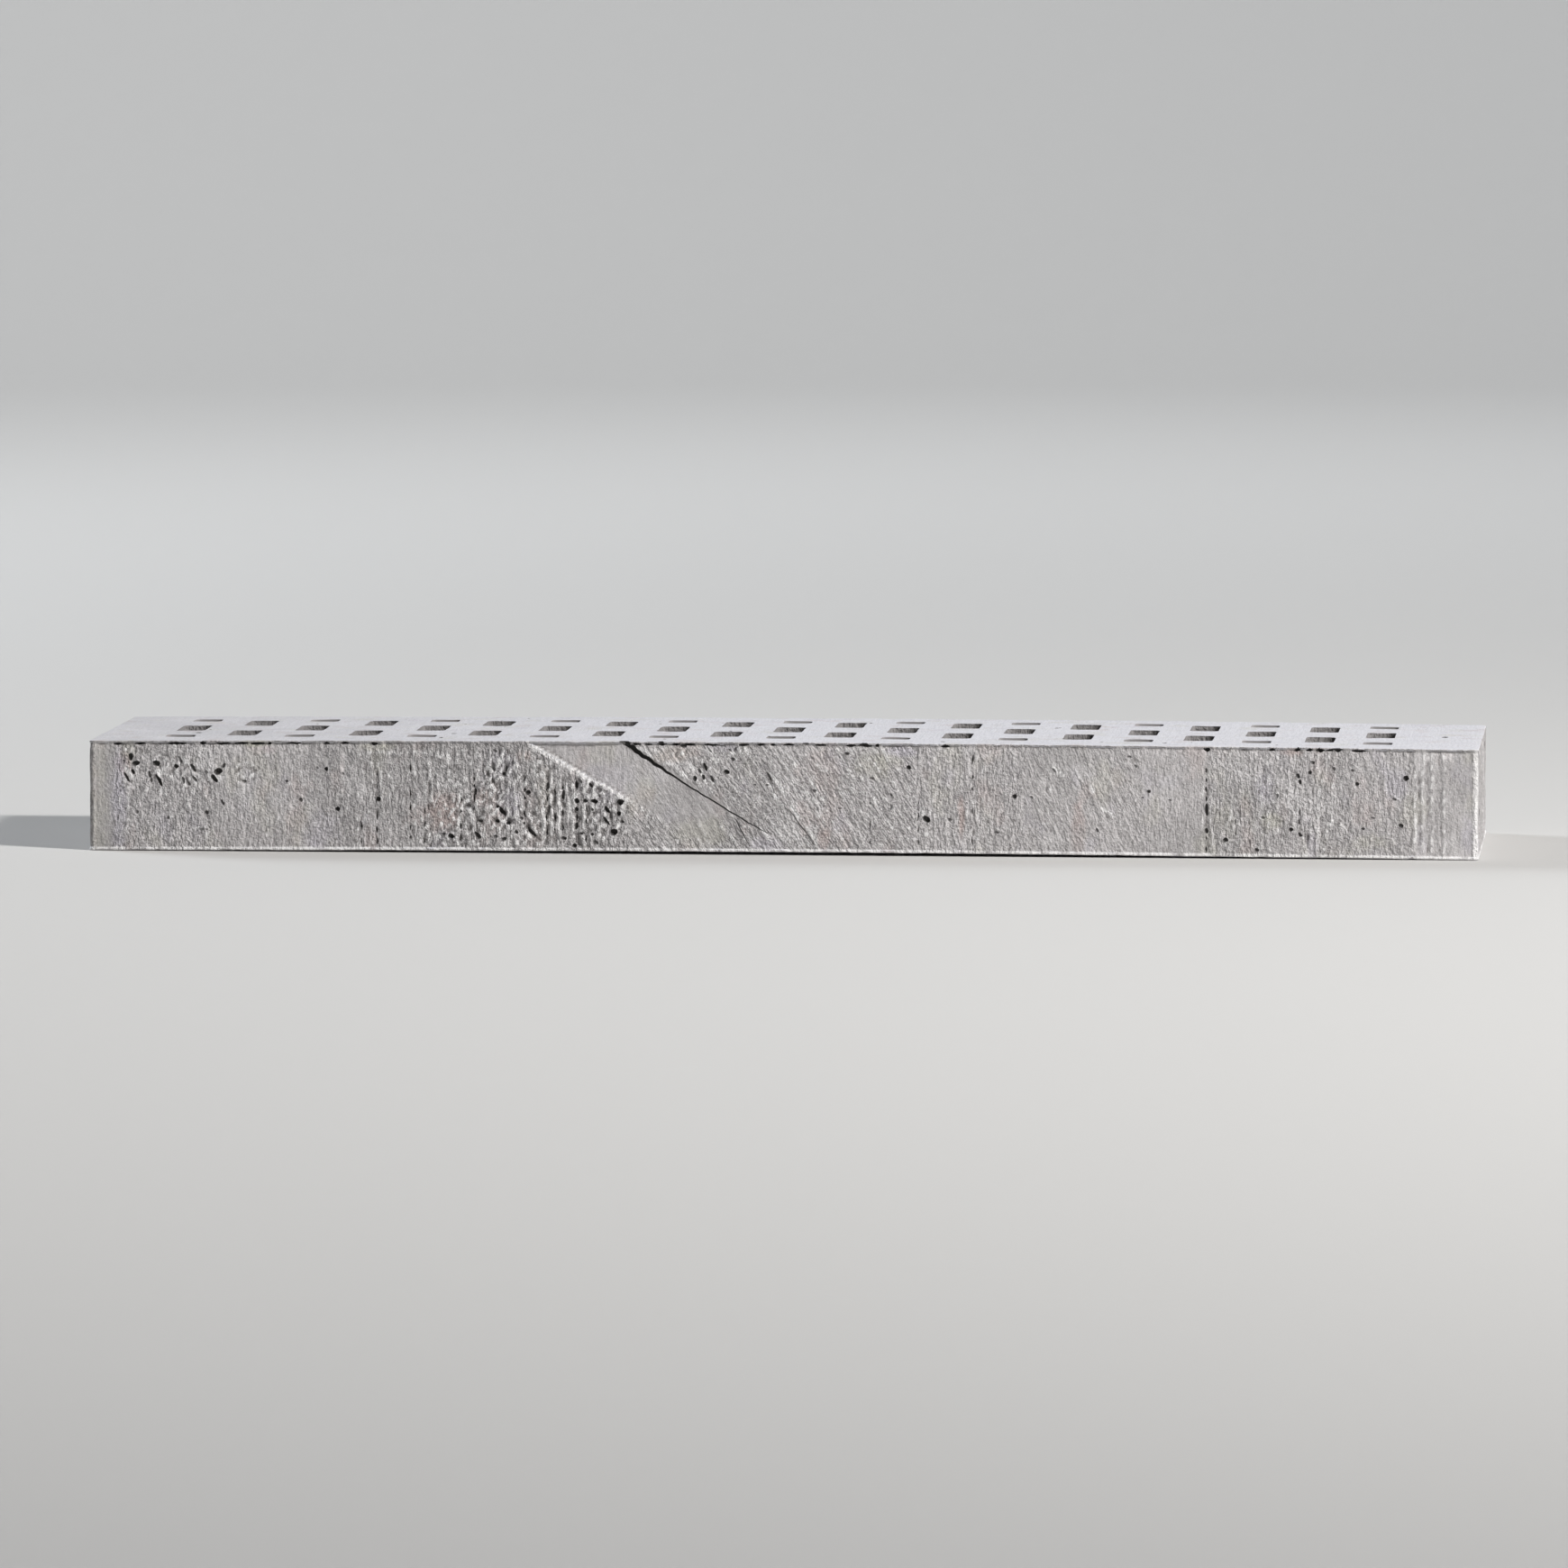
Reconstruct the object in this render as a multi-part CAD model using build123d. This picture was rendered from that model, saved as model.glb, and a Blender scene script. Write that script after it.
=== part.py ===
from build123d import *
import os

# A long-format clinker brick. The clay is pushed through a die along the brick's
# height, cut off with a wire and fired hard, so the upright faces come from the die
# and the two beds from the wire. Millimetres, with +X along the brick and +Z up.
# The origin is the centre of the lower bed.

brick_length = 490.0
brick_width = 115.0
brick_height = 40.0
corner_radius = 2.0  # upright corners, rounded by the die
arris_radius = 0.5  # edges of both beds, left by the wire and dulled in handling

# Perforations, from bed to bed, in columns across the brick. Columns of three holes
# and columns of two take turns, and both end columns have three.
column_count = 21
left_web = 26.0  # solid clay from the left end to its nearest column
right_web = 31.2  # the same at the right end: the die's cores stand off its middle
hole_width = 10.0  # along the brick
hole_corner_radius = 1.5
long_hole = 22.0  # across the brick
short_hole = 9.0  # across the brick
side_web = 17.0  # solid clay from a short hole to the long face beside it
middle_web = 24.0  # solid clay between the two holes of a column of two


def hole(reach):
    return RectangleRounded(hole_width, reach, hole_corner_radius)


def column_of_three():
    row = brick_width / 2 - side_web - short_hole / 2
    return hole(long_hole) + Pos(0, row) * hole(short_hole) + Pos(0, -row) * hole(short_hole)


def column_of_two():
    row = (middle_web + long_hole) / 2
    return Pos(0, row) * hole(long_hole) + Pos(0, -row) * hole(long_hole)


def perforations():
    first_column = left_web + hole_width / 2 - brick_length / 2
    last_column = brick_length / 2 - right_web - hole_width / 2
    pitch = (last_column - first_column) / (column_count - 1)
    cores = Sketch()
    for index in range(column_count):
        column = column_of_two() if index % 2 else column_of_three()
        cores += Pos(first_column + index * pitch, 0) * column
    return extrude(cores, brick_height)


def blank():
    column = extrude(RectangleRounded(brick_length, brick_width, corner_radius), brick_height)
    beds = column.faces().filter_by(Axis.Z)
    return fillet(beds.edges(), arris_radius)


def clinker_brick():
    return blank() - perforations()


os.makedirs("parts", exist_ok=True)
export_step(clinker_brick(), "parts/clinker_brick.step")
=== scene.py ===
import math

import bpy
import numpy as np
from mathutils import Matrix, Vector


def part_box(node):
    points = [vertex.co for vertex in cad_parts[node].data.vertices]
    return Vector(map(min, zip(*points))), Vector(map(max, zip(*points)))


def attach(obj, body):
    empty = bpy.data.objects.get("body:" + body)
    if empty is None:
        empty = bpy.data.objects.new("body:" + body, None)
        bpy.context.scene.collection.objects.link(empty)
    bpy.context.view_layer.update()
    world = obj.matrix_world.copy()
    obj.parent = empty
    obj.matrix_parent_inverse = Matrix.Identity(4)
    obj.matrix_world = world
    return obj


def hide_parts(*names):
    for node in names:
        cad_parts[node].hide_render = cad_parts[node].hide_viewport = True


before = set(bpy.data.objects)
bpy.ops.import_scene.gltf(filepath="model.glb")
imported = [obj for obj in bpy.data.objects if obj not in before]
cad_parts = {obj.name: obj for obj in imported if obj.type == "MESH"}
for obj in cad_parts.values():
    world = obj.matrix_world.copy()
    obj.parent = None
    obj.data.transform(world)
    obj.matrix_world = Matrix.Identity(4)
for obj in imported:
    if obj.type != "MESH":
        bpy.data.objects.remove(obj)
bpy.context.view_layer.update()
mm = 0.001
print("frame loaded")


# One node socket, with sums written as Python expressions
class Wire:
    def __init__(self, tree, socket=None):
        self.tree = tree
        self.socket = socket

    def node(self, kind, settings=(), inputs=(), output=0):
        made = self.tree.nodes.new(kind)
        for name, value in dict(settings).items():
            setattr(made, name, value)
        for name, value in dict(inputs).items():
            for one in value if isinstance(value, list) else [value]:
                if isinstance(one, Wire):
                    self.tree.links.new(one.socket, made.inputs[name])
                else:
                    made.inputs[name].default_value = one
        return Wire(self.tree, made.outputs[output]) if len(made.outputs) else None

    def math(self, operation, *others):
        values = {i: value for i, value in enumerate((self, *others))}
        return self.node("ShaderNodeMath", {"operation": operation}, values)

    def __add__(self, other):
        return self.math("ADD", other)

    def __sub__(self, other):
        return self.math("SUBTRACT", other)


    def __rsub__(self, other):
        return self.node("ShaderNodeMath", {"operation": "SUBTRACT"}, {0: other, 1: self})

    def __mul__(self, other):
        return self.math("MULTIPLY", other)

    def __truediv__(self, other):
        return self.math("DIVIDE", other)

    __radd__ = __add__
    __rmul__ = __mul__

    def ramp(self, low, high, start=0.0, end=1.0):
        steps = {"interpolation_type": "SMOOTHSTEP"}
        return self.node("ShaderNodeMapRange", steps, {0: self, 1: low, 2: high, 3: start, 4: end})

    def part(self, axis):
        return self.node("ShaderNodeSeparateXYZ", (), {"Vector": self}, axis)

    def times(self, size):
        return self.node("ShaderNodeVectorMath", {"operation": "SCALE"}, {0: self, "Scale": size})


def smooth(value, low, high):
    share = np.clip((value - low) / (high - low), 0, 1)
    return share * share * (3 - 2 * share)


# One between two places, with soft ends
def within(value, lowest, highest, soft):
    return smooth(value, lowest - soft, lowest + soft) * smooth(-value, -highest - soft, -highest + soft)


# One in the middle of a mark, fading over its width
def hump(offset, wide):
    return np.exp(-((offset / wide * 2) ** 2))


# The same place measured along axes that are turned by an angle in degrees
def turned(u, z, degrees):
    turn = math.radians(degrees)
    return u * math.cos(turn) + z * math.sin(turn), z * math.cos(turn) - u * math.sin(turn)


# Distances along and across a line, positive to its left, and its length
def alongAndAcross(u, z, start, end):
    du, dz = end[0] - start[0], end[1] - start[1]
    reach = math.hypot(du, dz)
    along = ((u - start[0]) * du + (z - start[1]) * dz) / reach
    across = ((z - start[1]) * du - (u - start[0]) * dz) / reach
    return along, across, reach


# Smooth noise from minus one to one with a period of one
def noise(u, v, seed):
    cells = 128
    table = np.random.default_rng(seed).uniform(-1, 1, (cells, cells))
    column, row = np.floor(u).astype(int), np.floor(v).astype(int)
    fu, fv = u - column, v - row
    fu, fv = fu * fu * (3 - 2 * fu), fv * fv * (3 - 2 * fv)
    left, right, low, high = column % cells, (column + 1) % cells, row % cells, (row + 1) % cells
    bottom = table[left, low] * (1 - fu) + table[right, low] * fu
    top = table[left, high] * (1 - fu) + table[right, high] * fu
    return bottom * (1 - fv) + top * fv


# Noise with finer and weaker noise on top
def layers(u, v, seed, count=4):
    total = 0
    for level in range(count):
        total = total + noise(u * 2**level, v * 2**level, seed + level) * 0.55**level
    return total


# Sizes of the fired block, in millimetres
block = {
    "clayHeight": 39.0,  # between the beds
    "bow": 1.0,  # rise of the middle over the two ends
    "cornerRadius": 2.0,
    "slant": 1.3,  # how far the front's marks move right in its middle
    "faceInset": 0.3,  # from the block's box to the middle skin of a moulded face
    "bedInset": 0.15,  # the same for a wire-cut bed
    "deepest": 1.8,  # of the relief of a moulded face
    "arris": 0.3,  # mean radius
    "overhang": 0.3,  # strength of the overhang where no shade is marked
    "stepAlong": {"front": 0.66, "right": 1.2, "back": 2.6, "left": 2.2},
    "cornerSteps": 5,
    "middleRows": 33,
    "bedMargin": 3.2,  # width of the strip between a bed's edge and its grid
    "bedStep": {"upper": 4.4, "lower": 8.0},
    "besideEdge": (-0.6, 0.8),  # lines of a bed's grid at the edges of the perforations
    "closestLines": 0.5,
    "bedSeeds": {"upper": 211, "lower": 231},
    "creaseAngle": 48,  # edges that turn more stay sharp
}

# The same values as the solid's perforations, in millimetres
perforation = {
    "columnCount": 21,
    "leftWeb": 26.0,
    "rightWeb": 31.2,
    # how far the cores of each column were pushed aside in the die
    "columnSway": [
        -1.0, -1.0, -0.8, 0.1, 0.5, 0.3, 1.8, 2.2, 1.9, 1.8, 1.1,
        0, -0.6, -0.7, -1.4, -0.3, 0.5, 0.1, -0.2, 0.5, 0.1,
    ],
    "holeWidth": 10.0,
    "cornerRadius": 1.5,
    "longHole": 22.0,
    "shortHole": 9.0,
    "sideWeb": 17.0,
    "middleWeb": 24.0,
    "cornerPoints": 3,
    "wallRows": 7,
    "wallCut": 26.0,  # run of outline for each cut of a straight side
    "mouthFlare": 0.3,
    "wallRoughness": 0.16,
    "overshoot": 1.2,
    "seed": 4,
}

low, high = [np.array(corner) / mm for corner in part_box("clinker_brick")]
length, width = high[0] - low[0], high[1] - low[1]
firstColumn = perforation["leftWeb"] + perforation["holeWidth"] / 2 - length / 2
lastColumn = length / 2 - perforation["rightWeb"] - perforation["holeWidth"] / 2
columnPlaces = np.linspace(firstColumn, lastColumn, perforation["columnCount"]) + perforation["columnSway"]
outerRow = width / 2 - perforation["sideWeb"] - perforation["shortHole"] / 2
innerRow = (perforation["middleWeb"] + perforation["longHole"]) / 2


def holePlaces():
    places = []
    for index, x in enumerate(columnPlaces):
        if index % 2:
            places += [(x, -innerRow, perforation["longHole"]), (x, innerRow, perforation["longHole"])]
        else:
            places.append((x, 0.0, perforation["longHole"]))
            places += [(x, -outerRow, perforation["shortHole"]), (x, outerRow, perforation["shortHole"])]
    return places


# Which way each moulded face runs, seen from outside, and which way it looks
sideWays = {
    "front": ((1, 0), (0, -1)),
    "right": ((0, 1), (1, 0)),
    "back": ((-1, 0), (0, 1)),
    "left": ((0, -1), (-1, 0)),
}
sideNames = list(sideWays)


# Half the run of a moulded face, and its distance from the middle of the block
def faceReach(name):
    return (length / 2, width / 2) if name in ("front", "back") else (width / 2, length / 2)


# Places along a moulded face, and outwards from the middle of the block
def onFace(name, x, y):
    way, out = sideWays[name]
    return way[0] * x + way[1] * y, out[0] * x + out[1] * y


# Marks on the four moulded faces, in millimetres: along the face from its middle, seen
# from outside, and over the floor.
# grains: start, end, lean in degrees, heights of the drawn streaks and of the grit, and
# strength of the finer grain that the finish adds
# ridges: start, end, lowest, highest, lean in degrees, spacing, run, height, sway
# scrapes: start and end of the left wall, width across, depth, widths of both walls
# grooves: start, end, width, depth (under nothing for a raised line)
# tears: middle, half sizes, depth
# lines: place, lowest, highest, width, depth of a broken upright line
# swirls: middle, radius, first and last angle, width, depth
# crumbs: place, height over the floor, radius, rise
# flecks: place, height over the floor, half sizes along and across, turn of a spot of painted highlight
# shades: start, end and strength of the overhang along the upper arris
faceMarks = {
    "front": {
        "seed": 11,
        "grains": [
            (-248, -236, 0, 0.03, 0.02, 0.5),
            (-236, -200, 0, 0.07, 0.16, 1.7),
            (-200, -162, 0, 0.08, 0.11, 1.0),
            (-162, -126, 0, 0.13, 0.09, 1.35),
            (-126, -54, 0, 0.18, 0.20, 2.0),
            (-54, 46, 33, 0.12, 0.12, 1.35),
            (46, 84, 0, 0.11, 0.10, 1.25),
            (84, 126, 20, 0.08, 0.08, 0.8),
            (126, 150, 0, 0.05, 0.06, 0.65),
            (150, 202, 0, 0.10, 0.09, 1.35),
            (202, 222, 0, 0.08, 0.08, 1.1),
            (222, 240, 0, 0.07, 0.02, 0.5),
            (240, 248, 0, 0.02, 0.015, 0.3),
        ],
        "ridges": [
            (-247, -234, 0, 40, 0, 2.6, 80, 0.14, 0.1),
            (-150, -112, 0, 40, 0, 2.8, 20, 0.1, 0.3),
            (-126, -92, 0, 39, 0, 3.2, 9, 0.2, 0.5),
            (-74, -54, 0, 33, 0, 2.6, 14, 0.24, 0.3),
            (-42, 46, 0, 40, 33, 2.2, 14, 0.12, 0.3),
            (-44, -12, 22, 40, 36, 2.6, 7, 0.12, 0.4),
            (46, 150, 0, 40, 0, 2.4, 14, 0.06, 0.4),
            (148, 204, 0, 40, 0, 2, 8, 0.12, 0.5),
            (221, 239, 0, 40, 0, 2.4, 60, 0.14, 0.1),
        ],
        "scrapes": [((-92.5, 40.5), (-37, 8.5), 17.2, 1, 0.9, 1)],
        "grooves": [
            ((-230.8, 28.4), (-228.6, 25.6), 1, -0.28), ((-221.4, 28.6), (-218.2, 22.4), 1.1, -0.28),
            ((-219.4, 29.6), (-217.2, 26.4), 0.9, -0.22), ((-212.8, 26.6), (-210.6, 22.6), 0.9, -0.24),
            ((-209, 29.6), (-207.2, 25.2), 0.9, -0.24), ((-201, 28.4), (-198.8, 24.4), 1, -0.28),
            ((-206.4, 8.8), (-202, 5.6), 0.9, -0.2), ((-37.5, 29), (-34, 27.6), 2.2, -0.16),
            ((-6.2, 29.2), (-1.5, 20.5), 1, 0.2), ((-4.4, 29.2), (6, 12.4), 1.5, -0.26),
            ((6, 12.4), (13.8, 1.8), 1.4, -0.2), ((-9, 22.5), (2.5, 12.8), 1.1, 0.2),
            ((5.6, 14), (8.4, 10.2), 1.1, 0.24), ((9.8, 13.6), (11.4, 10.4), 1.3, 0.3),
            ((12, 7.4), (15.6, 2.2), 1, -0.18), ((20.8, 16.8), (27.4, 5.6), 1, 0.18),
            ((30, 24), (42, 8), 1, 0.12), ((-19.6, 11.2), (-17.2, 8.6), 1.3, 0.22),
            ((-14, 9.6), (-12, 4), 1.5, 0.2), ((-9.6, 11.8), (-4.8, 8.6), 1.1, 0.18),
            ((18.2, 21.4), (19.4, 18.8), 1.2, 0.26), ((119, 22), (119.8, 16.8), 1.4, 0.26),
            ((113.4, 15.4), (115.4, 13.2), 1.2, 0.3), ((-212, 11), (-193, 3.4), 1.6, 0.16),
            ((-208, 8.6), (-203, 8.4), 1.2, -0.14), ((-92, 7.4), (-86, 3), 1.2, -0.24),
            ((-91.5, 11), (-86.6, 5), 1.6, 0.5), ((-101, 17), (-96.8, 13), 1.5, 0.5),
            ((-196.4, 16.6), (-193.4, 14.4), 1, -0.14), ((45.5, 37.6), (63, 37.6), 0.9, -0.14),
            ((45.5, 36.6), (58.5, 36.6), 0.9, 0.16), ((46, 27.3), (60, 27.3), 0.8, 0.1),
            ((2, 37.6), (31, 37.6), 0.9, -0.12), ((14, 35.9), (31, 35.9), 0.9, -0.1),
            ((-148, 37), (-118, 37), 1.1, 0.22), ((-146, 35.6), (-124, 35.6), 1.1, -0.2),
            ((-146, 29.6), (-114, 29.6), 1.1, 0.22), ((-147, 33.2), (-120, 33.2), 1.1, 0.14),
            ((92.4, 34.6), (99.4, 28), 1, -0.2), ((113.6, 16.6), (117, 13.8), 1, -0.24),
            ((50.5, 8.6), (52.6, 5.6), 1, -0.24), ((53.8, 8.2), (55.4, 5.4), 1.1, 0.26),
        ],
        "tears": [
            ((-118, 12), (9, 12), 0.36),
            ((-104, 14), (9, 15), 0.5),
            ((-100, 29), (9, 10), 0.4),
            ((-92, 10), (9, 11), 0.36),
            ((-76, 12), (8, 13), 0.16),
            ((-64, 13), (9.5, 12), 0.6),
            ((-34, 32), (11, 7), 0.2),
            ((-216, 28), (18, 6), 0.3),
            ((184, 10), (10, 8), 0.2),
        ],
        "lines": [
            (-237.4, 0, 40, 0.9, 0.06), (-231.2, 0, 40, 0.9, -0.2), (-161.4, 21, 38, 0.9, 0.16),
            (-148.8, 2, 13, 1, 0.34), (-143.4, 2, 29, 1.1, 0.44), (-139.2, 2, 38, 1.1, -0.22),
            (-131.5, 4, 38, 1, 0.4), (-129.8, 4, 36, 0.9, -0.2), (-126.7, 2, 17, 1, 0.38),
            (-125, 10, 25, 1, 0.36), (-119.2, 8, 24, 1.1, 0.26), (-113.8, 3, 22, 1, 0.34),
            (-109, 14, 28, 1.1, 0.42), (-103.6, 2, 24, 1, -0.2), (-97.8, 24, 38, 1.1, 0.42),
            (-94.6, 12, 34, 1, -0.2), (-91.3, 5, 28, 1.3, 0.6), (-89.8, 8, 33, 1, 0.24),
            (-87.2, 0, 33, 2.4, -0.2), (-84.6, 2, 30, 1, -0.24), (-83.4, 3, 29, 1.4, 0.66),
            (-82, 2, 28, 1.1, -0.34), (-80.7, 4, 27, 1.2, 0.5), (-79.4, 2, 26, 1.2, -0.38),
            (-77.9, 3, 27, 1.2, 0.62), (-76.4, 3, 25, 1.1, -0.26), (-74.4, 2, 25, 1, -0.28),
            (-73.1, 2, 27, 1.2, 0.66), (-69.5, 4, 24, 1.2, 0.42), (30.4, 3, 20, 1, 0.26),
            (22, 2, 9, 1, 0.2), (37.8, 16, 22, 1, 0.26), (47.3, 3, 22, 1, 0.36), (54.7, 2, 38, 0.9, 0.15),
            (58.4, 5, 38, 0.9, 0.14), (66.5, 3, 38, 1, 0.3), (82.4, 26, 38, 0.9, 0.16),
            (92.7, 23, 30, 1.1, 0.28), (94.6, 8, 18, 1.1, 0.26), (98.6, 3, 30, 0.9, 0.14),
            (110.6, 22, 30, 1, 0.2), (148.9, 1, 39, 1.2, 0.4), (152.3, 4, 36, 1, 0.18),
            (159.2, 8, 14, 1, 0.24), (169.2, 10, 36, 1, 0.22), (175.4, 8, 37, 1, 0.22),
            (181.8, 4, 38, 1.1, 0.28), (186.4, 3, 38, 1, 0.24), (188.2, 6, 38, 0.9, -0.14),
            (190, 4, 36, 1, 0.2), (193.4, 1, 27, 1, -0.2), (199.4, 3, 12, 1, 0.24),
            (221.2, 0, 38, 0.9, 0.22), (222.2, 0, 38, 1, -0.3), (224, 2, 31, 1, 0.36),
            (225.2, 0, 38, 0.9, -0.24), (226.8, 0, 38, 1, 0.3), (228.2, 0, 38, 0.9, -0.32),
            (229.6, 0, 38, 0.9, 0.3), (231.2, 0, 38, 0.9, 0.24), (232.6, 0, 38, 0.9, -0.28),
            (235.4, 20, 38, 0.9, 0.26),
        ],
        "swirls": [
            ((-189.6, 27.4), 3.4, 15, 175, 1.5, 0.5), ((-189.2, 27.4), 3.4, 205, 330, 1.4, 0.36),
        ],
        "crumbs": [
            (-230.6, 27.4, 0.8, 0.4), (-229.8, 26.2, 0.7, 0.4), (-220.3, 26.4, 0.8, 0.4),
            (-211.4, 25.4, 0.7, 0.4), (-209.4, 25.4, 0.6, 0.36), (-207.6, 26.6, 0.6, 0.3),
            (-199.2, 24.6, 0.7, 0.4), (-202.6, 26.6, 0.6, 0.3), (-197, 26.2, 0.6, 0.3),
            (-219.2, 28.4, 0.6, 0.3), (-233.6, 27.2, 0.5, 0.3), (51.6, 15.2, 0.9, 0.4),
            (50, 7.6, 0.8, 0.36), (62.4, 17.8, 0.7, 0.3), (-103.2, 29.2, 0.9, 0.4),
            (-103, 20.4, 0.9, 0.4), (-106.8, 8.4, 0.8, 0.4), (-95.6, 6, 0.8, 0.4),
            (-119.8, 4.6, 0.9, 0.4), (-65, 8.6, 0.9, 0.4), (-70.8, 22.6, 0.8, 0.4), (-66.4, 13, 0.8, 0.4),
            (-63.6, 5.4, 0.8, 0.36), (-70.2, 3.8, 0.8, 0.36), (-111.6, 7, 0.8, 0.36),
            (-114.6, 3.2, 0.8, 0.36), (-98, 3.4, 0.8, 0.4), (-91, 3, 0.8, 0.36),
            (-101.8, 28.4, 0.7, 0.36), (-115.4, 9, 0.8, 0.36),
        ],
        "flecks": [
            (-230.7, 27.7, 2.6, 0.75, -54), (-219.6, 27.8, 1.5, 0.8, -62), (-219.2, 21.2, 1.2, 0.6, -60),
            (-211.4, 24.7, 0.9, 0.7, 0), (-210.7, 31.5, 0.9, 0.6, 0), (-213, 30.8, 0.7, 0.6, 0),
            (-198.8, 25.9, 1, 0.8, 30), (-201.8, 25.6, 1, 0.7, 0), (-202.7, 28.8, 0.8, 0.5, 0),
            (-214.4, 37, 1.2, 0.5, -60), (-207.4, 24.4, 0.9, 0.5, -60), (-205.8, 26.6, 1, 0.5, -60),
            (-103.2, 29.2, 1.2, 0.7, -50), (-103.5, 20.8, 1.4, 0.6, 90), (-106.2, 6.4, 1.2, 0.7, -40),
            (-114.2, 11, 2, 0.6, 90), (-90.4, 7, 2.6, 0.7, -40), (-95.8, 6.2, 1, 0.6, 0),
            (-79.1, 13, 6, 0.55, 90), (-75.5, 16, 4.5, 0.55, 90), (-68.8, 20.2, 1, 0.7, 0),
            (-57.6, 10.2, 1.6, 0.6, -50), (-64.4, 10.2, 1, 0.6, -45), (-70.6, 10, 1.2, 0.6, 90),
            (-98.4, 3.4, 1.3, 0.6, -30), (-109.6, 3.6, 1, 0.6, -30), (-119, 3.2, 1.2, 0.6, -40),
            (-87.6, 30, 3, 0.5, 90), (-84.8, 12, 6, 0.5, 90), (48.9, 15.4, 1.3, 0.8, -50),
            (-34.8, 27.8, 1.8, 0.6, -62), (-32.4, 30.6, 1.4, 0.6, -60), (-28.8, 28.6, 1.8, 0.6, -65),
            (-24.4, 33.2, 1.2, 0.6, -50), (-25.8, 36.4, 1.2, 0.5, -50), (-18, 35.6, 1.2, 0.5, 0),
            (-1.4, 24.4, 3.4, 0.5, -57), (4, 15.4, 3.4, 0.5, -57), (10, 7, 3, 0.45, -57),
            (112.6, 16.8, 1.6, 0.6, -45), (96, 30.6, 2.2, 0.6, -45), (108.6, 24, 1.6, 0.6, -60),
        ],
        "shades": [
            (-242, -148, 0.9), (-217, -211, 1), (-206, -203, 0.95), (-197, -180, 1), (-161, -117, 0.85),
            (-114, -99, 0.5), (-94, -57, 0.05), (-54, 12, 0.75), (-45, -20, 0.9), (12, 60, 0.8),
            (60, 150, 0.55), (150, 198, 0.9), (198, 242, 0.75),
        ],
    },
    "right": {
        "seed": 31,
        "grains": [(-60, 60, 0, 0.14, 0.1, 1.3)],
        "ridges": [(-54, -32, 0, 40, 0, 3.2, 20, 0.14, 0.2), (-14, 28, 0, 40, 0, 3.6, 9, 0.22, 0.6)],
        "grooves": [((-30, 34), (-22, 22), 1.8, 0.26), ((30, 30), (36, 21), 1.8, 0.26)],
        "tears": [((12, 18), (11, 13), 0.3)],
        "lines": [
            (-18, 2, 36, 1.8, 0.4), (3, 4, 30, 1.8, 0.36), (20, 6, 34, 1.8, 0.36), (40, 4, 32, 1.8, 0.36),
        ],
        "crumbs": [(9, 12, 1.6, 0.24), (15, 22, 1.6, 0.24)],
        "shades": [(-50, -20, 0.7), (-5, 30, 0.8)],
    },
    "back": {
        "seed": 51,
        "grains": [
            (-248, -100, 0, 0.16, 0.14, 2.0), (-100, 40, 30, 0.14, 0.12, 1.7), (40, 248, 0, 0.18, 0.14, 2.1),
        ],
        "ridges": [
            (-238, -212, 0, 40, 0, 6, 60, 0.16, 0.2),
            (-156, -92, 0, 40, 0, 6.5, 14, 0.34, 0.6),
            (-44, 16, 0, 40, 30, 6, 22, 0.2, 0.4),
            (78, 132, 0, 40, 0, 6.5, 12, 0.32, 0.9),
            (204, 238, 0, 40, 0, 6, 60, 0.18, 0.2),
        ],
        "scrapes": [((142, 40), (196, 10), 15, 0.9, 3, 2.4)],
        "grooves": [
            ((-190, 34), (-180, 20), 2.6, 0.4),
            ((-74, 29), (-64, 13), 2.6, 0.36),
            ((32, 32), (44, 14), 2.6, 0.34),
            ((58, 22), (67, 8), 2.6, 0.34),
        ],
        "tears": [((-124, 13), (26, 12), 0.4), ((104, 24), (22, 10), 0.36)],
        "lines": [(-84, 2, 38, 2.6, 0.44), (20, 4, 34, 2.6, 0.4), (138, 2, 32, 2.6, 0.44)],
        "shades": [(-220, -130, 0.7), (-90, 40, 0.6), (70, 220, 0.8)],
    },
    "left": {
        "seed": 71,
        "grains": [(-60, 60, 0, 0.16, 0.12, 1.8)],
        "ridges": [(-50, -28, 0, 40, 0, 5.5, 20, 0.22, 0.4), (18, 52, 0, 40, 0, 5.5, 40, 0.16, 0.2)],
        "grooves": [((-10, 32), (0, 17), 2.4, 0.34), ((26, 25), (34, 12), 2.4, 0.3)],
        "tears": [((-38, 15), (13, 12), 0.34)],
        "lines": [(8, 3, 36, 2.2, 0.4)],
        "shades": [(-45, 10, 0.7), (20, 50, 0.6)],
    },
}


# The marks of the front are placed as seen from its right, and lie this much further right
def slant(u, name):
    return block["slant"] * (1 - (2 * u / length) ** 2) if name == "front" else 0


# How strongly the clay overhangs under the upper arris
def overhang(u, name):
    u = u - slant(u, name)
    marks, least = faceMarks[name], block["overhang"]
    strength = least + 0 * u
    for start, end, strong in marks["shades"]:
        change = max(strong, least) - strength if strong > 0.1 else -strength
        strength = strength + within(u, start, end, 1.5) * change
    return strength * (0.4 + 0.8 * smooth(layers(u / 2.4, u * 0, marks["seed"] + 100, 4), -0.9, 0.6))


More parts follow.
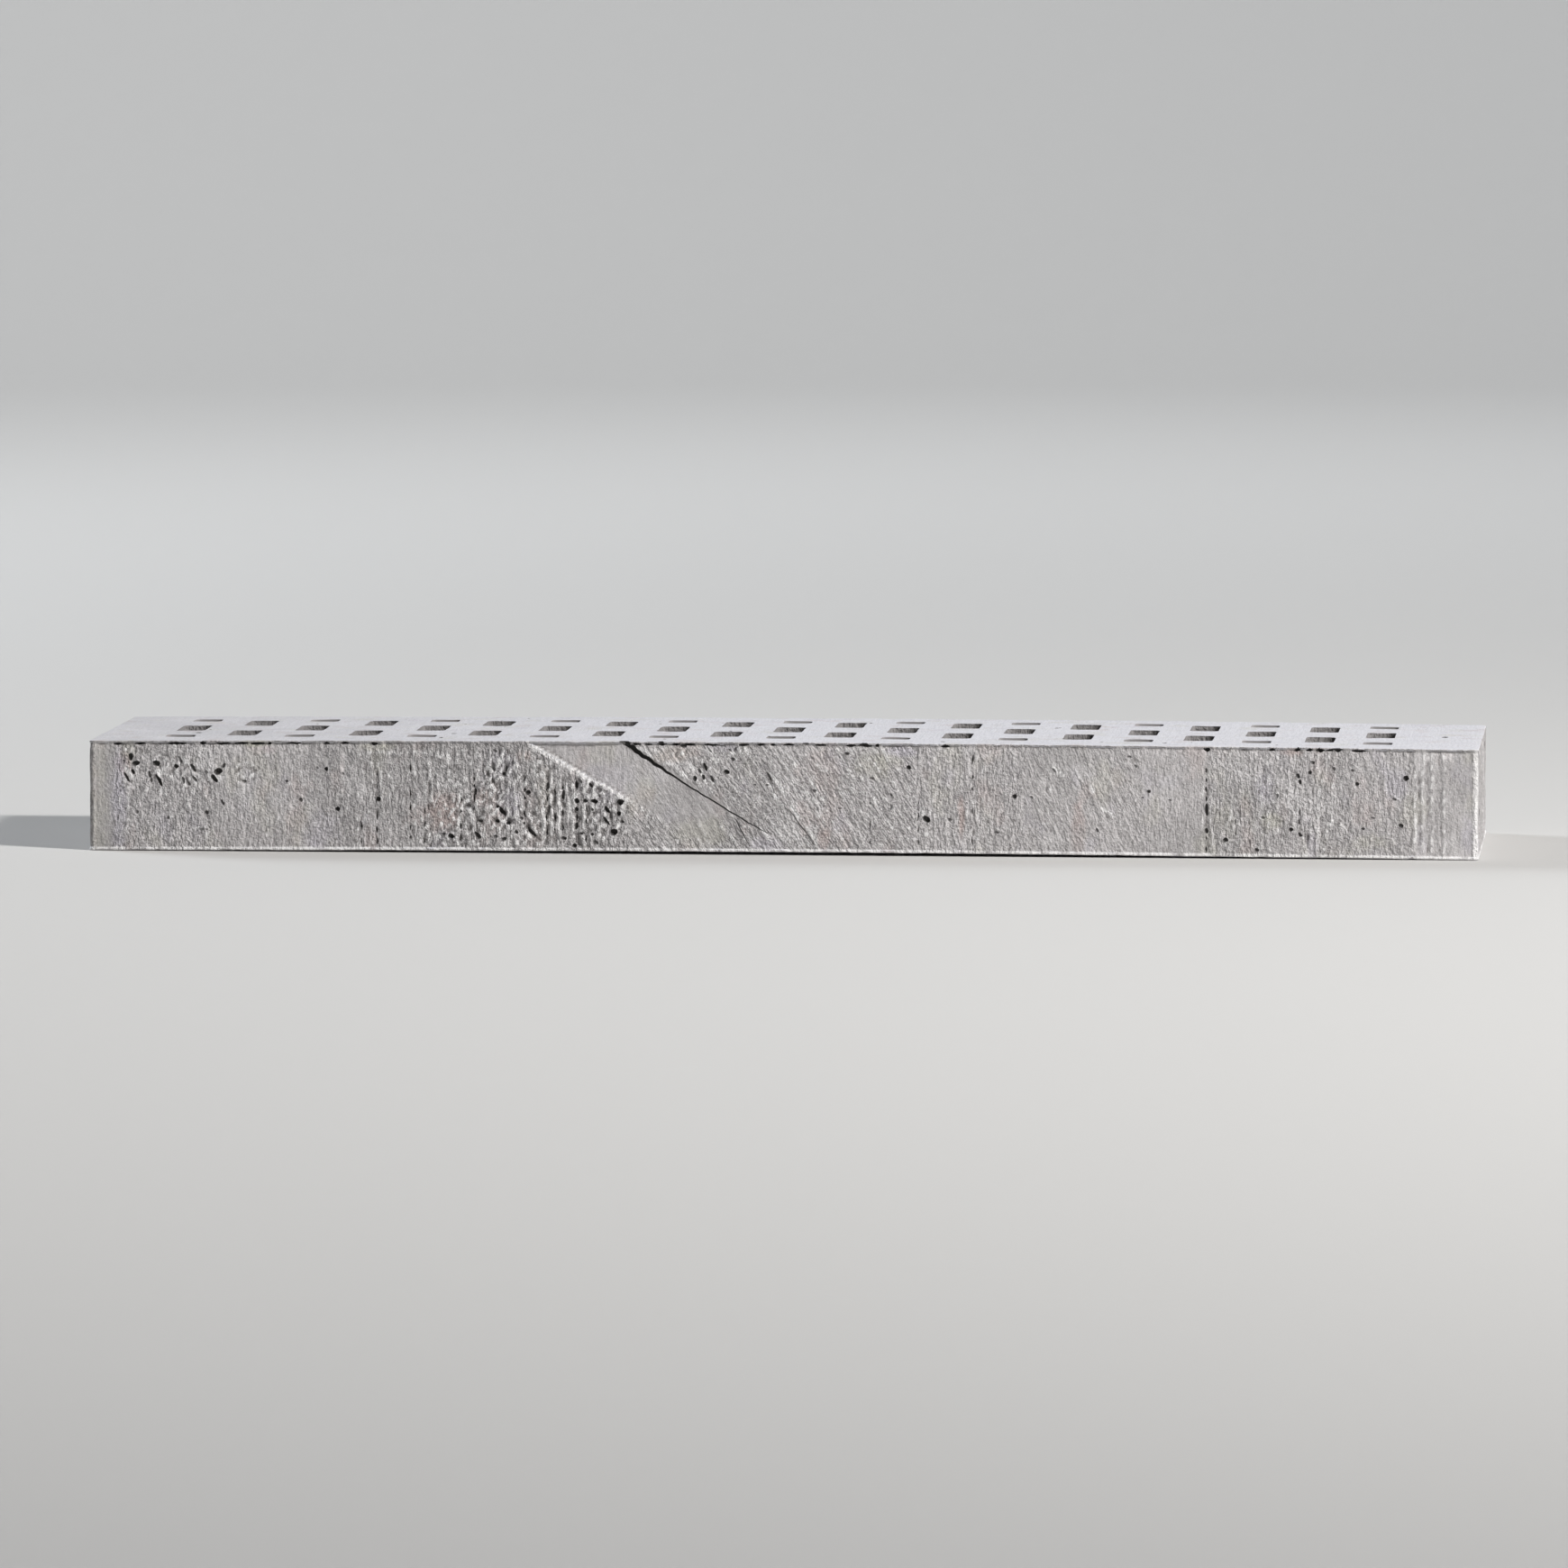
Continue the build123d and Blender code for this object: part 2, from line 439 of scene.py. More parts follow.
# Relief of a moulded face over its middle skin, positive outwards. The height is over the
# floor, and both edges are distances from the beds
def faceRelief(u, height, toLower, toUpper, name):
    marks = faceMarks[name]
    seed, strength = marks["seed"], overhang(u, name)
    u = u - slant(u, name)
    coarse = max(1.0, block["stepAlong"][name] / 0.8)  # grain is no finer than the mesh can show
    relief = 0.1 * layers(u / 60, height / 45, seed, 2)

    # Streaks drawn by the die with grit between them, then the combed ribs
    for index, (start, end, lean, streak, grit, _) in enumerate(marks["grains"]):
        across, along = turned(u, height, lean)
        drawn = streak * layers(across / coarse / 1.5, along / coarse / 5, seed + 200 + index, 2)
        rough = grit * layers(u / 2.0 / coarse, height / 2.0 / coarse, seed + 220 + index, 2)
        relief = relief + within(u, start, end, 2) * (drawn + rough)
    for index, (start, end, lowest, highest, lean, spacing, run, rise, sway) in enumerate(marks["ridges"]):
        inside = within(u, start, end, 2) * within(height, lowest, highest, 2)
        across, along = turned(u, height, lean)
        bend = sway * noise(across / 14, along / 12, seed + 20 + index)
        ridge = 1 - 2 * np.abs(noise(across / spacing * 1.6 + bend, along / run, seed + 40 + index))
        broken = 0.7 + 0.7 * noise(across / 3, along / 4, seed + 60 + index)
        relief = relief + rise * inside * ridge * broken

    # Torn clay and broken upright lines
    for middle, halfSizes, depth in marks["tears"]:
        apart = np.hypot((u - middle[0]) / halfSizes[0], (height - middle[1]) / halfSizes[1])
        inside = smooth(1.1 - apart + 0.35 * layers(u / 6, height / 6, seed + 80, 3), 0.0, 0.6)
        scales = np.abs(layers(u / 1.8 / coarse, height / 2.8 / coarse, seed + 84, 2))
        relief = relief - depth * inside * (1.4 * scales - 0.3)
    for place, lowest, highest, wide, depth in marks["lines"]:
        key = seed + int(abs(place))
        bend = 0.35 * noise(height / 9, height * 0, key)
        at = place + bend + 0.25 * noise(height / 1.8, height * 0, key + 1)
        dashes = 0.2 + 0.8 * smooth(noise(height / 1.7, height * 0 + 0.5, key + 90), -0.35, 0.4)
        relief = relief - depth * within(height, lowest, highest, 1) * dashes * hump(u - at, wide)

    # Scrapes flatten what they cross, and scratches, turned-up clay and crumbs lie on top
    for start, end, reachAcross, depth, leftWall, rightWall in marks.get("scrapes", []):
        along, across, reach = alongAndAcross(u, height, start, end)
        wander = across + 0.5 * noise(along / 7, along * 0, seed + 95)
        floor = smooth(wander, 0.0, leftWall) * smooth(-wander, -reachAcross, -reachAcross + rightWall)
        fading = smooth(-along / reach, -1.0, -0.3) * smooth(along, -30, -26)
        wearAndHighlight = floor * smooth(-along / reach, -1.3, -0.9) * smooth(along, -30, -26)
        relief = relief * (1 - 0.75 * wearAndHighlight) - depth * floor * fading
    for start, end, wide, depth in marks["grooves"]:
        along, across, reach = alongAndAcross(u, height, start, end)
        inside = smooth(along, -0.6, 0.9) * smooth(reach - along, -0.6, 0.9)
        uneven = 0.8 + 0.5 * noise(along / 1.8, across * 0, seed + 97)
        relief = relief - depth * uneven * inside * hump(across, wide)
    for middle, radius, first, last, wide, depth in marks.get("swirls", []):
        du, dz = u - middle[0], (height - middle[1]) * 1.4
        angle = np.degrees(np.arctan2(dz, du)) % 360
        relief = relief - depth * within(angle, first, last, 15) * hump(np.hypot(du, dz) - radius, wide)
    for place, high, radius, rise in marks.get("crumbs", []):
        relief = relief + rise * np.exp(-((u - place) ** 2 + (height - high) ** 2) / (0.6 * radius) ** 2)

    # The overhang with the hollow below it, and the ragged lip of the lower arris
    drop, back = smooth(toUpper, 0.4, 1.0), smooth(toUpper, 1.0, 4.0)
    relief = relief * drop + (0.05 + 0.25 * strength) * (1 - drop) - 0.5 * strength * drop * (1 - back)
    ragged = layers(u / 3.2 / coarse, u * 0, seed + 110, 4)
    drop = smooth(toLower, 0.5, 1.2)
    lip = np.clip(0.28 + 0.06 * ragged, 0.1, block["faceInset"])
    relief = (relief - 0.06) * drop + lip * (1 - drop)
    return np.clip(relief, -block["deepest"], block["faceInset"])


# How far an arris is dulled, along one face
def arrisRadius(u, name, upper):
    key = faceMarks[name]["seed"] + (130 if upper else 140)
    radius = block["arris"] + 0.14 * layers(u / 5, u * 0, key, 3)
    chips = smooth(layers(u / 3.2, u * 0, key + 5, 3), 0.75, 1.3)
    return np.clip(radius + 0.5 * chips, 0.14, 1.2)


# How much higher the bowed block lies here than at its ends
def bowRise(x):
    return block["bow"] * (1 - (2 * x / length) ** 2)


# Relief of a wire-cut bed over its middle skin, positive outwards
def bedRelief(x, y, name):
    seed = block["bedSeeds"][name]
    relief = 0.06 * layers(x / 70, y / 50, seed, 2)
    bend = 0.4 * noise(x / 60, y / 40, seed + 2)
    relief = relief + 0.05 * layers(x / 4.2 + bend, y / 34, seed + 4, 2)
    relief = relief - 0.2 * smooth(layers(x / 6, y / 8, seed + 8, 3), 0.6, 1.3)
    for holeX, holeY, reach in holePlaces():
        dx = np.abs(x - holeX) - perforation["holeWidth"] / 2
        dy = np.abs(y - holeY) - reach / 2
        apart = np.hypot(np.maximum(dx, 0), np.maximum(dy, 0)) + np.minimum(np.maximum(dx, dy), 0)
        dragged = 0.5 + 0.5 * np.sign(y - holeY)  # the wire left the holes at their far ends
        lip = (0.04 + 0.12 * dragged) * (1 + 0.8 * noise(x / 2.2, y / 2.2, seed + 12))
        relief = relief + lip * np.exp(-((apart / 1.3) ** 2))
    return np.clip(relief, -0.8, block["bedInset"])


# Lines of a grid, with one close on each side of the given edges
def gradedLines(reach, edges, coarse):
    kept = [-reach]
    for line in sorted(edge + step for edge in edges for step in block["besideEdge"]):
        if line - kept[-1] > block["closestLines"]:
            kept.append(line)
    kept.append(reach)
    lines = []
    for start, end in zip(kept, kept[1:]):
        lines += list(np.linspace(start, end, max(1, math.ceil((end - start) / coarse)), endpoint=False))
    return np.array(lines + [reach])


# Points round the block, from the front left corner and against the clock seen from above
def perimeter():
    radius, steps = block["cornerRadius"], block["cornerSteps"]
    found = []
    for side, (name, (way, out)) in enumerate(sideWays.items()):
        way, out = np.array(way), np.array(out)
        half, apart = faceReach(name)
        straight = half - radius
        count = round(2 * straight / block["stepAlong"][name])
        for u in np.linspace(-straight, straight, count + 1):
            found.append((*(way * u + out * apart), *out, side, u))
        for step in range(1, steps):
            angle = math.pi / 2 * step / steps
            normal = out * math.cos(angle) + way * math.sin(angle)
            place = way * straight + out * (apart - radius) + normal * radius
            if angle <= math.pi / 4:
                found.append((*place, *normal, side, straight + radius * angle))
            else:
                u = -(apart - radius) - radius * (math.pi / 2 - angle)
                found.append((*place, *normal, (side + 1) % 4, u))
    return np.array(found)


# Triangles between two closed loops of vertices that run side by side
def stitch(outer, inner, points):
    faces = []
    i = j = 0
    while i < len(outer) or j < len(inner):
        a, b = outer[i % len(outer)], inner[j % len(inner)]
        nextA, nextB = outer[(i + 1) % len(outer)], inner[(j + 1) % len(inner)]
        outerStep = np.linalg.norm(points[nextA] - points[b])
        innerStep = np.linalg.norm(points[a] - points[nextB])
        if j >= len(inner) or (i < len(outer) and outerStep <= innerStep):
            faces.append((a, nextA, b))
            i += 1
        else:
            faces.append((a, nextB, b))
            j += 1
    return faces


def blankMesh():
    clay, around = block["clayHeight"], perimeter()
    sides, u = around[:, 4].astype(int), around[:, 5]
    count = len(around)
    upper, lower = np.zeros(count), np.zeros(count)
    for side, name in enumerate(sideNames):
        picked = sides == side
        upper[picked] = arrisRadius(u[picked], name, True)
        lower[picked] = arrisRadius(u[picked], name, False)

    # Rows of the moulded faces from the lower bed to the upper one, close together at both
    nearEdge, middleFrom = np.array([0, 0.3, 0.55, 0.85, 1.15, 1.5, 2.0, 2.8]), 3.9
    middle = np.linspace(middleFrom, clay - middleFrom, block["middleRows"])
    heights = np.concatenate([nearEdge, middle, clay - nearEdge[::-1]]) / clay
    turns = [math.pi / 2, math.pi / 3, math.pi / 6]
    rows = [(lower * (1 - math.sin(turn)), lower * (1 - math.cos(turn))) for turn in turns]
    rows += [(lower + share * (clay - lower - upper), 0 * upper) for share in heights]
    rows += [(clay - upper * (1 - math.sin(turn)), upper * (1 - math.cos(turn))) for turn in turns[::-1]]
    z = np.array([height for height, _ in rows]).T
    inset = np.array([inwards for _, inwards in rows]).T
    relief = np.zeros_like(z)
    for side, name in enumerate(sideNames):
        picked = sides == side
        along = np.repeat(u[picked][:, None], z.shape[1], axis=1)
        rise = bowRise(around[picked, 0:1])
        relief[picked] = faceRelief(along, z[picked] + rise, z[picked], clay - z[picked], name)
    inwards = relief - block["faceInset"] - inset
    x = around[:, 0:1] + around[:, 2:3] * inwards
    y = around[:, 1:2] + around[:, 3:4] * inwards
    above = bedRelief(x, y, "upper") - block["bedInset"]
    below = block["bedInset"] - bedRelief(x, y, "lower")
    points = [np.stack([x, y, z + above * z / clay + below * (1 - z / clay)], axis=-1).reshape(-1, 3)]
    rowCount = z.shape[1]
    index = np.arange(count * rowCount).reshape(count, rowCount)
    right = np.roll(index, -1, axis=0)
    quads = np.stack([index[:, :-1], right[:, :-1], right[:, 1:], index[:, 1:]], axis=-1)
    faces = quads.reshape(-1, 4).tolist()

    # Each bed is a grid inside the rim, with its lines close together at the holes
    halfX, halfY = length / 2 - block["bedMargin"], width / 2 - block["bedMargin"]
    xEdges = [x + side * perforation["holeWidth"] / 2 for x in columnPlaces for side in (-1, 1)]
    holeRows = [(0, "longHole"), (innerRow, "longHole"), (outerRow, "shortHole")]
    edges = [row + side * perforation[hole] / 2 for row, hole in holeRows for side in (-1, 1)]
    yEdges = {way * edge for edge in edges for way in (-1, 1)}
    for name, level, out, rim in (("lower", 0.0, -1, index[:, 0]), ("upper", clay, 1, index[:, -1])):
        step = block["bedStep"][name]
        xLines, yLines = gradedLines(halfX, xEdges, step), gradedLines(halfY, yEdges, step)
        gridX, gridY = np.meshgrid(xLines, yLines, indexing="ij")
        start = sum(len(p) for p in points)
        gridZ = level + out * (bedRelief(gridX, gridY, name) - block["bedInset"])
        points.append(np.stack([gridX, gridY, gridZ], axis=-1).reshape(-1, 3))
        grid = start + np.arange(gridX.size).reshape(gridX.shape)
        cells = np.stack([grid[:-1, :-1], grid[1:, :-1], grid[1:, 1:], grid[:-1, 1:]], axis=-1)
        cells = cells.reshape(-1, 4)
        inner = [*grid[:-1, 0], *grid[-1, :-1], *grid[:0:-1, -1], *grid[0, :0:-1]]
        seam = stitch(list(rim), inner, np.concatenate(points))
        if out > 0:
            faces += cells.tolist() + seam
        else:
            faces += cells[:, ::-1].tolist() + [face[::-1] for face in seam]

    every = np.concatenate(points)
    every[:, 2] += bowRise(every[:, 0])
    mesh = bpy.data.meshes.new("brickBlank")
    mesh.from_pydata((every * mm).tolist(), [], [tuple(map(int, face)) for face in faces])
    mesh.validate()
    return mesh


socketKinds = [
    (int, "NodeSocketInt"),
    (float, "NodeSocketFloat"),
    (bpy.types.Object, "NodeSocketObject"),
    (bpy.types.Material, "NodeSocketMaterial"),
]


# A node tree that takes a mesh and the named values, with a wire from each of its inputs
def newTree(name, values):
    tree = bpy.data.node_groups.new(name, "GeometryNodeTree")
    face = tree.interface
    face.new_socket("Geometry", in_out="INPUT", socket_type="NodeSocketGeometry")
    for label, value in values.items():
        kind = next(kind for base, kind in socketKinds if isinstance(value, base))
        face.new_socket(label, in_out="INPUT", socket_type=kind)
    face.new_socket("Geometry", in_out="OUTPUT", socket_type="NodeSocketGeometry")
    start = tree.nodes.new("NodeGroupInput")
    return Wire(tree), {socket.name: Wire(tree, socket) for socket in start.outputs if socket.name}


# The cores of the perforations and their cut through the blank
def coreTree(values):
    wire, given = newTree("perforations", values)
    middle = given["Height"] / 2

    def core(reach):
        sides = {"Width": given["Hole Width"], "Height": reach}
        outline = wire.node("GeometryNodeCurvePrimitiveQuadrilateral", {"mode": "RECTANGLE"}, sides)
        corners = {"Curve": outline, "Radius": given["Corner Radius"], "Count": perforation["cornerPoints"]}
        outline = wire.node("GeometryNodeFilletCurve", {"mode": "POLY"}, corners)
        perCorner = perforation["cornerPoints"] + 1
        place = wire.node("GeometryNodeInputIndex")
        straight = place.math("MODULO", perCorner).math("COMPARE", perCorner - 1, 0.5)
        run = wire.node("GeometryNodeSplineLength")
        cuts = straight * (run / (perforation["wallCut"] * mm)).math("ROUND")
        outline = wire.node("GeometryNodeSubdivideCurve", (), {"Curve": outline, "Cuts": cuts})
        rise = wire.node("GeometryNodeCurvePrimitiveLine", {"mode": "POINTS"}, {"End": (0, 0, 1)})
        rows = {"Curve": rise, "Count": given["Wall Rows"]}
        rise = wire.node("GeometryNodeResampleCurve", {"mode": "COUNT"}, rows)
        share = wire.node("GeometryNodeSplineParameter") * 2 - 1
        swing = share.math("ABSOLUTE").math("POWER", 0.36) * share.math("SIGN")  # closer at the mouths
        level = middle + swing * (middle + given["Overshoot"])
        at = wire.node("ShaderNodeCombineXYZ", (), {"Z": level})
        rise = wire.node("GeometryNodeSetPosition", (), {"Geometry": rise, "Position": at})
        swept = {"Curve": rise, "Profile Curve": outline, "Fill Caps": True}
        return wire.node("GeometryNodeCurveToMesh", (), swept)

    def joined(cores):
        return wire.node("GeometryNodeJoinGeometry", (), {"Geometry": cores})

    def moved(geometry, row):
        at = wire.node("ShaderNodeCombineXYZ", (), {"Y": row})
        return wire.node("GeometryNodeTransform", (), {"Geometry": geometry, "Translation": at})

    def meshOf(label):
        return wire.node("GeometryNodeObjectInfo", (), {"Object": given[label]}, "Geometry")

    def repeated(column, picked):
        copies = {"Points": columnLine, "Selection": picked, "Instance": column}
        return wire.node("GeometryNodeInstanceOnPoints", (), copies)

    longCore, shortCore = core(given["Long Hole"]), core(given["Short Hole"])
    outer, inner = given["Outer Row"], given["Inner Row"]
    three = joined([longCore, moved(shortCore, outer), moved(shortCore, 0 - outer)])
    two = joined([moved(longCore, inner), moved(longCore, 0 - inner)])
    columnLine = meshOf("Columns")
    odd = wire.node("GeometryNodeInputIndex").math("MODULO", 2)
    cores = joined([repeated(three, 1 - odd), repeated(two, odd)])
    cores = wire.node("GeometryNodeRealizeInstances", (), {"Geometry": cores})

    # Walls are dragged a little, and the mouths flare and crumble
    spot = wire.node("GeometryNodeInputPosition")
    normal = wire.node("GeometryNodeInputNormal")
    x = spot.part("X") / given["Half Length"]
    edge = (middle - (spot.part("Z") - middle).math("ABSOLUTE")) / mm
    mouth = edge.ramp(2.4, -0.2)
    stretched = wire.node("ShaderNodeVectorMath", {"operation": "MULTIPLY"}, {0: spot, 1: (1, 1, 0.25)})
    wallNoise = {"Vector": stretched, "W": given["Seed"], "Scale": 260.0, "Detail": 2.0}
    dragged = wire.node("ShaderNodeTexNoise", {"noise_dimensions": "4D"}, wallNoise) - 0.5
    mouthNoise = {"Vector": spot, "W": given["Seed"] + 3, "Scale": 420.0, "Detail": 3.0}
    crumbled = wire.node("ShaderNodeTexNoise", {"noise_dimensions": "4D"}, mouthNoise) - 0.35
    swell = dragged * given["Wall Roughness"] * 2 + mouth * given["Mouth Flare"] * (0.3 + crumbled * 4)
    lifted = wire.node("ShaderNodeCombineXYZ", (), {"Z": given["Bow"] * (1 - x * x)})
    shift = {0: normal.times(swell), 1: (1, 1, 0), 2: lifted}
    shift = wire.node("ShaderNodeVectorMath", {"operation": "MULTIPLY_ADD"}, shift)
    cores = wire.node("GeometryNodeSetPosition", (), {"Geometry": cores, "Offset": shift})

    def marked(geometry, value):
        return wire.node(
            "GeometryNodeStoreNamedAttribute",
            {"data_type": "FLOAT", "domain": "FACE"},
            {"Geometry": geometry, "Name": "surfaceKind", "Value": value},
        )

    reach = wire.node("GeometryNodeInputNamedAttribute", {"data_type": "FLOAT_VECTOR"}, {"Name": "reach"})
    # Air holes and cracks get painted shade, the deepest pits and the cracks the darkest
    pitShadeKind = (reach.part("Z") / mm).ramp(0.3, 0.9, 2.0, 3.0)  # deep pits are the darkest
    cutters = [marked(cores, 1.0), marked(meshOf("Pits"), pitShadeKind), marked(meshOf("Cracks"), 3.0)]
    cutters = {"Mesh 1": marked(given["Geometry"], 0.0), "Mesh 2": cutters}
    cut = wire.node("GeometryNodeMeshBoolean", {"operation": "DIFFERENCE", "solver": "MANIFOLD"}, cutters)
    cut = wire.node("GeometryNodeRealizeInstances", (), {"Geometry": cut})
    cut = wire.node("GeometryNodeSetMaterial", (), {"Geometry": cut, "Material": given["Clay"]})
    wire.node("NodeGroupOutput", (), {"Geometry": cut})
    return wire.tree


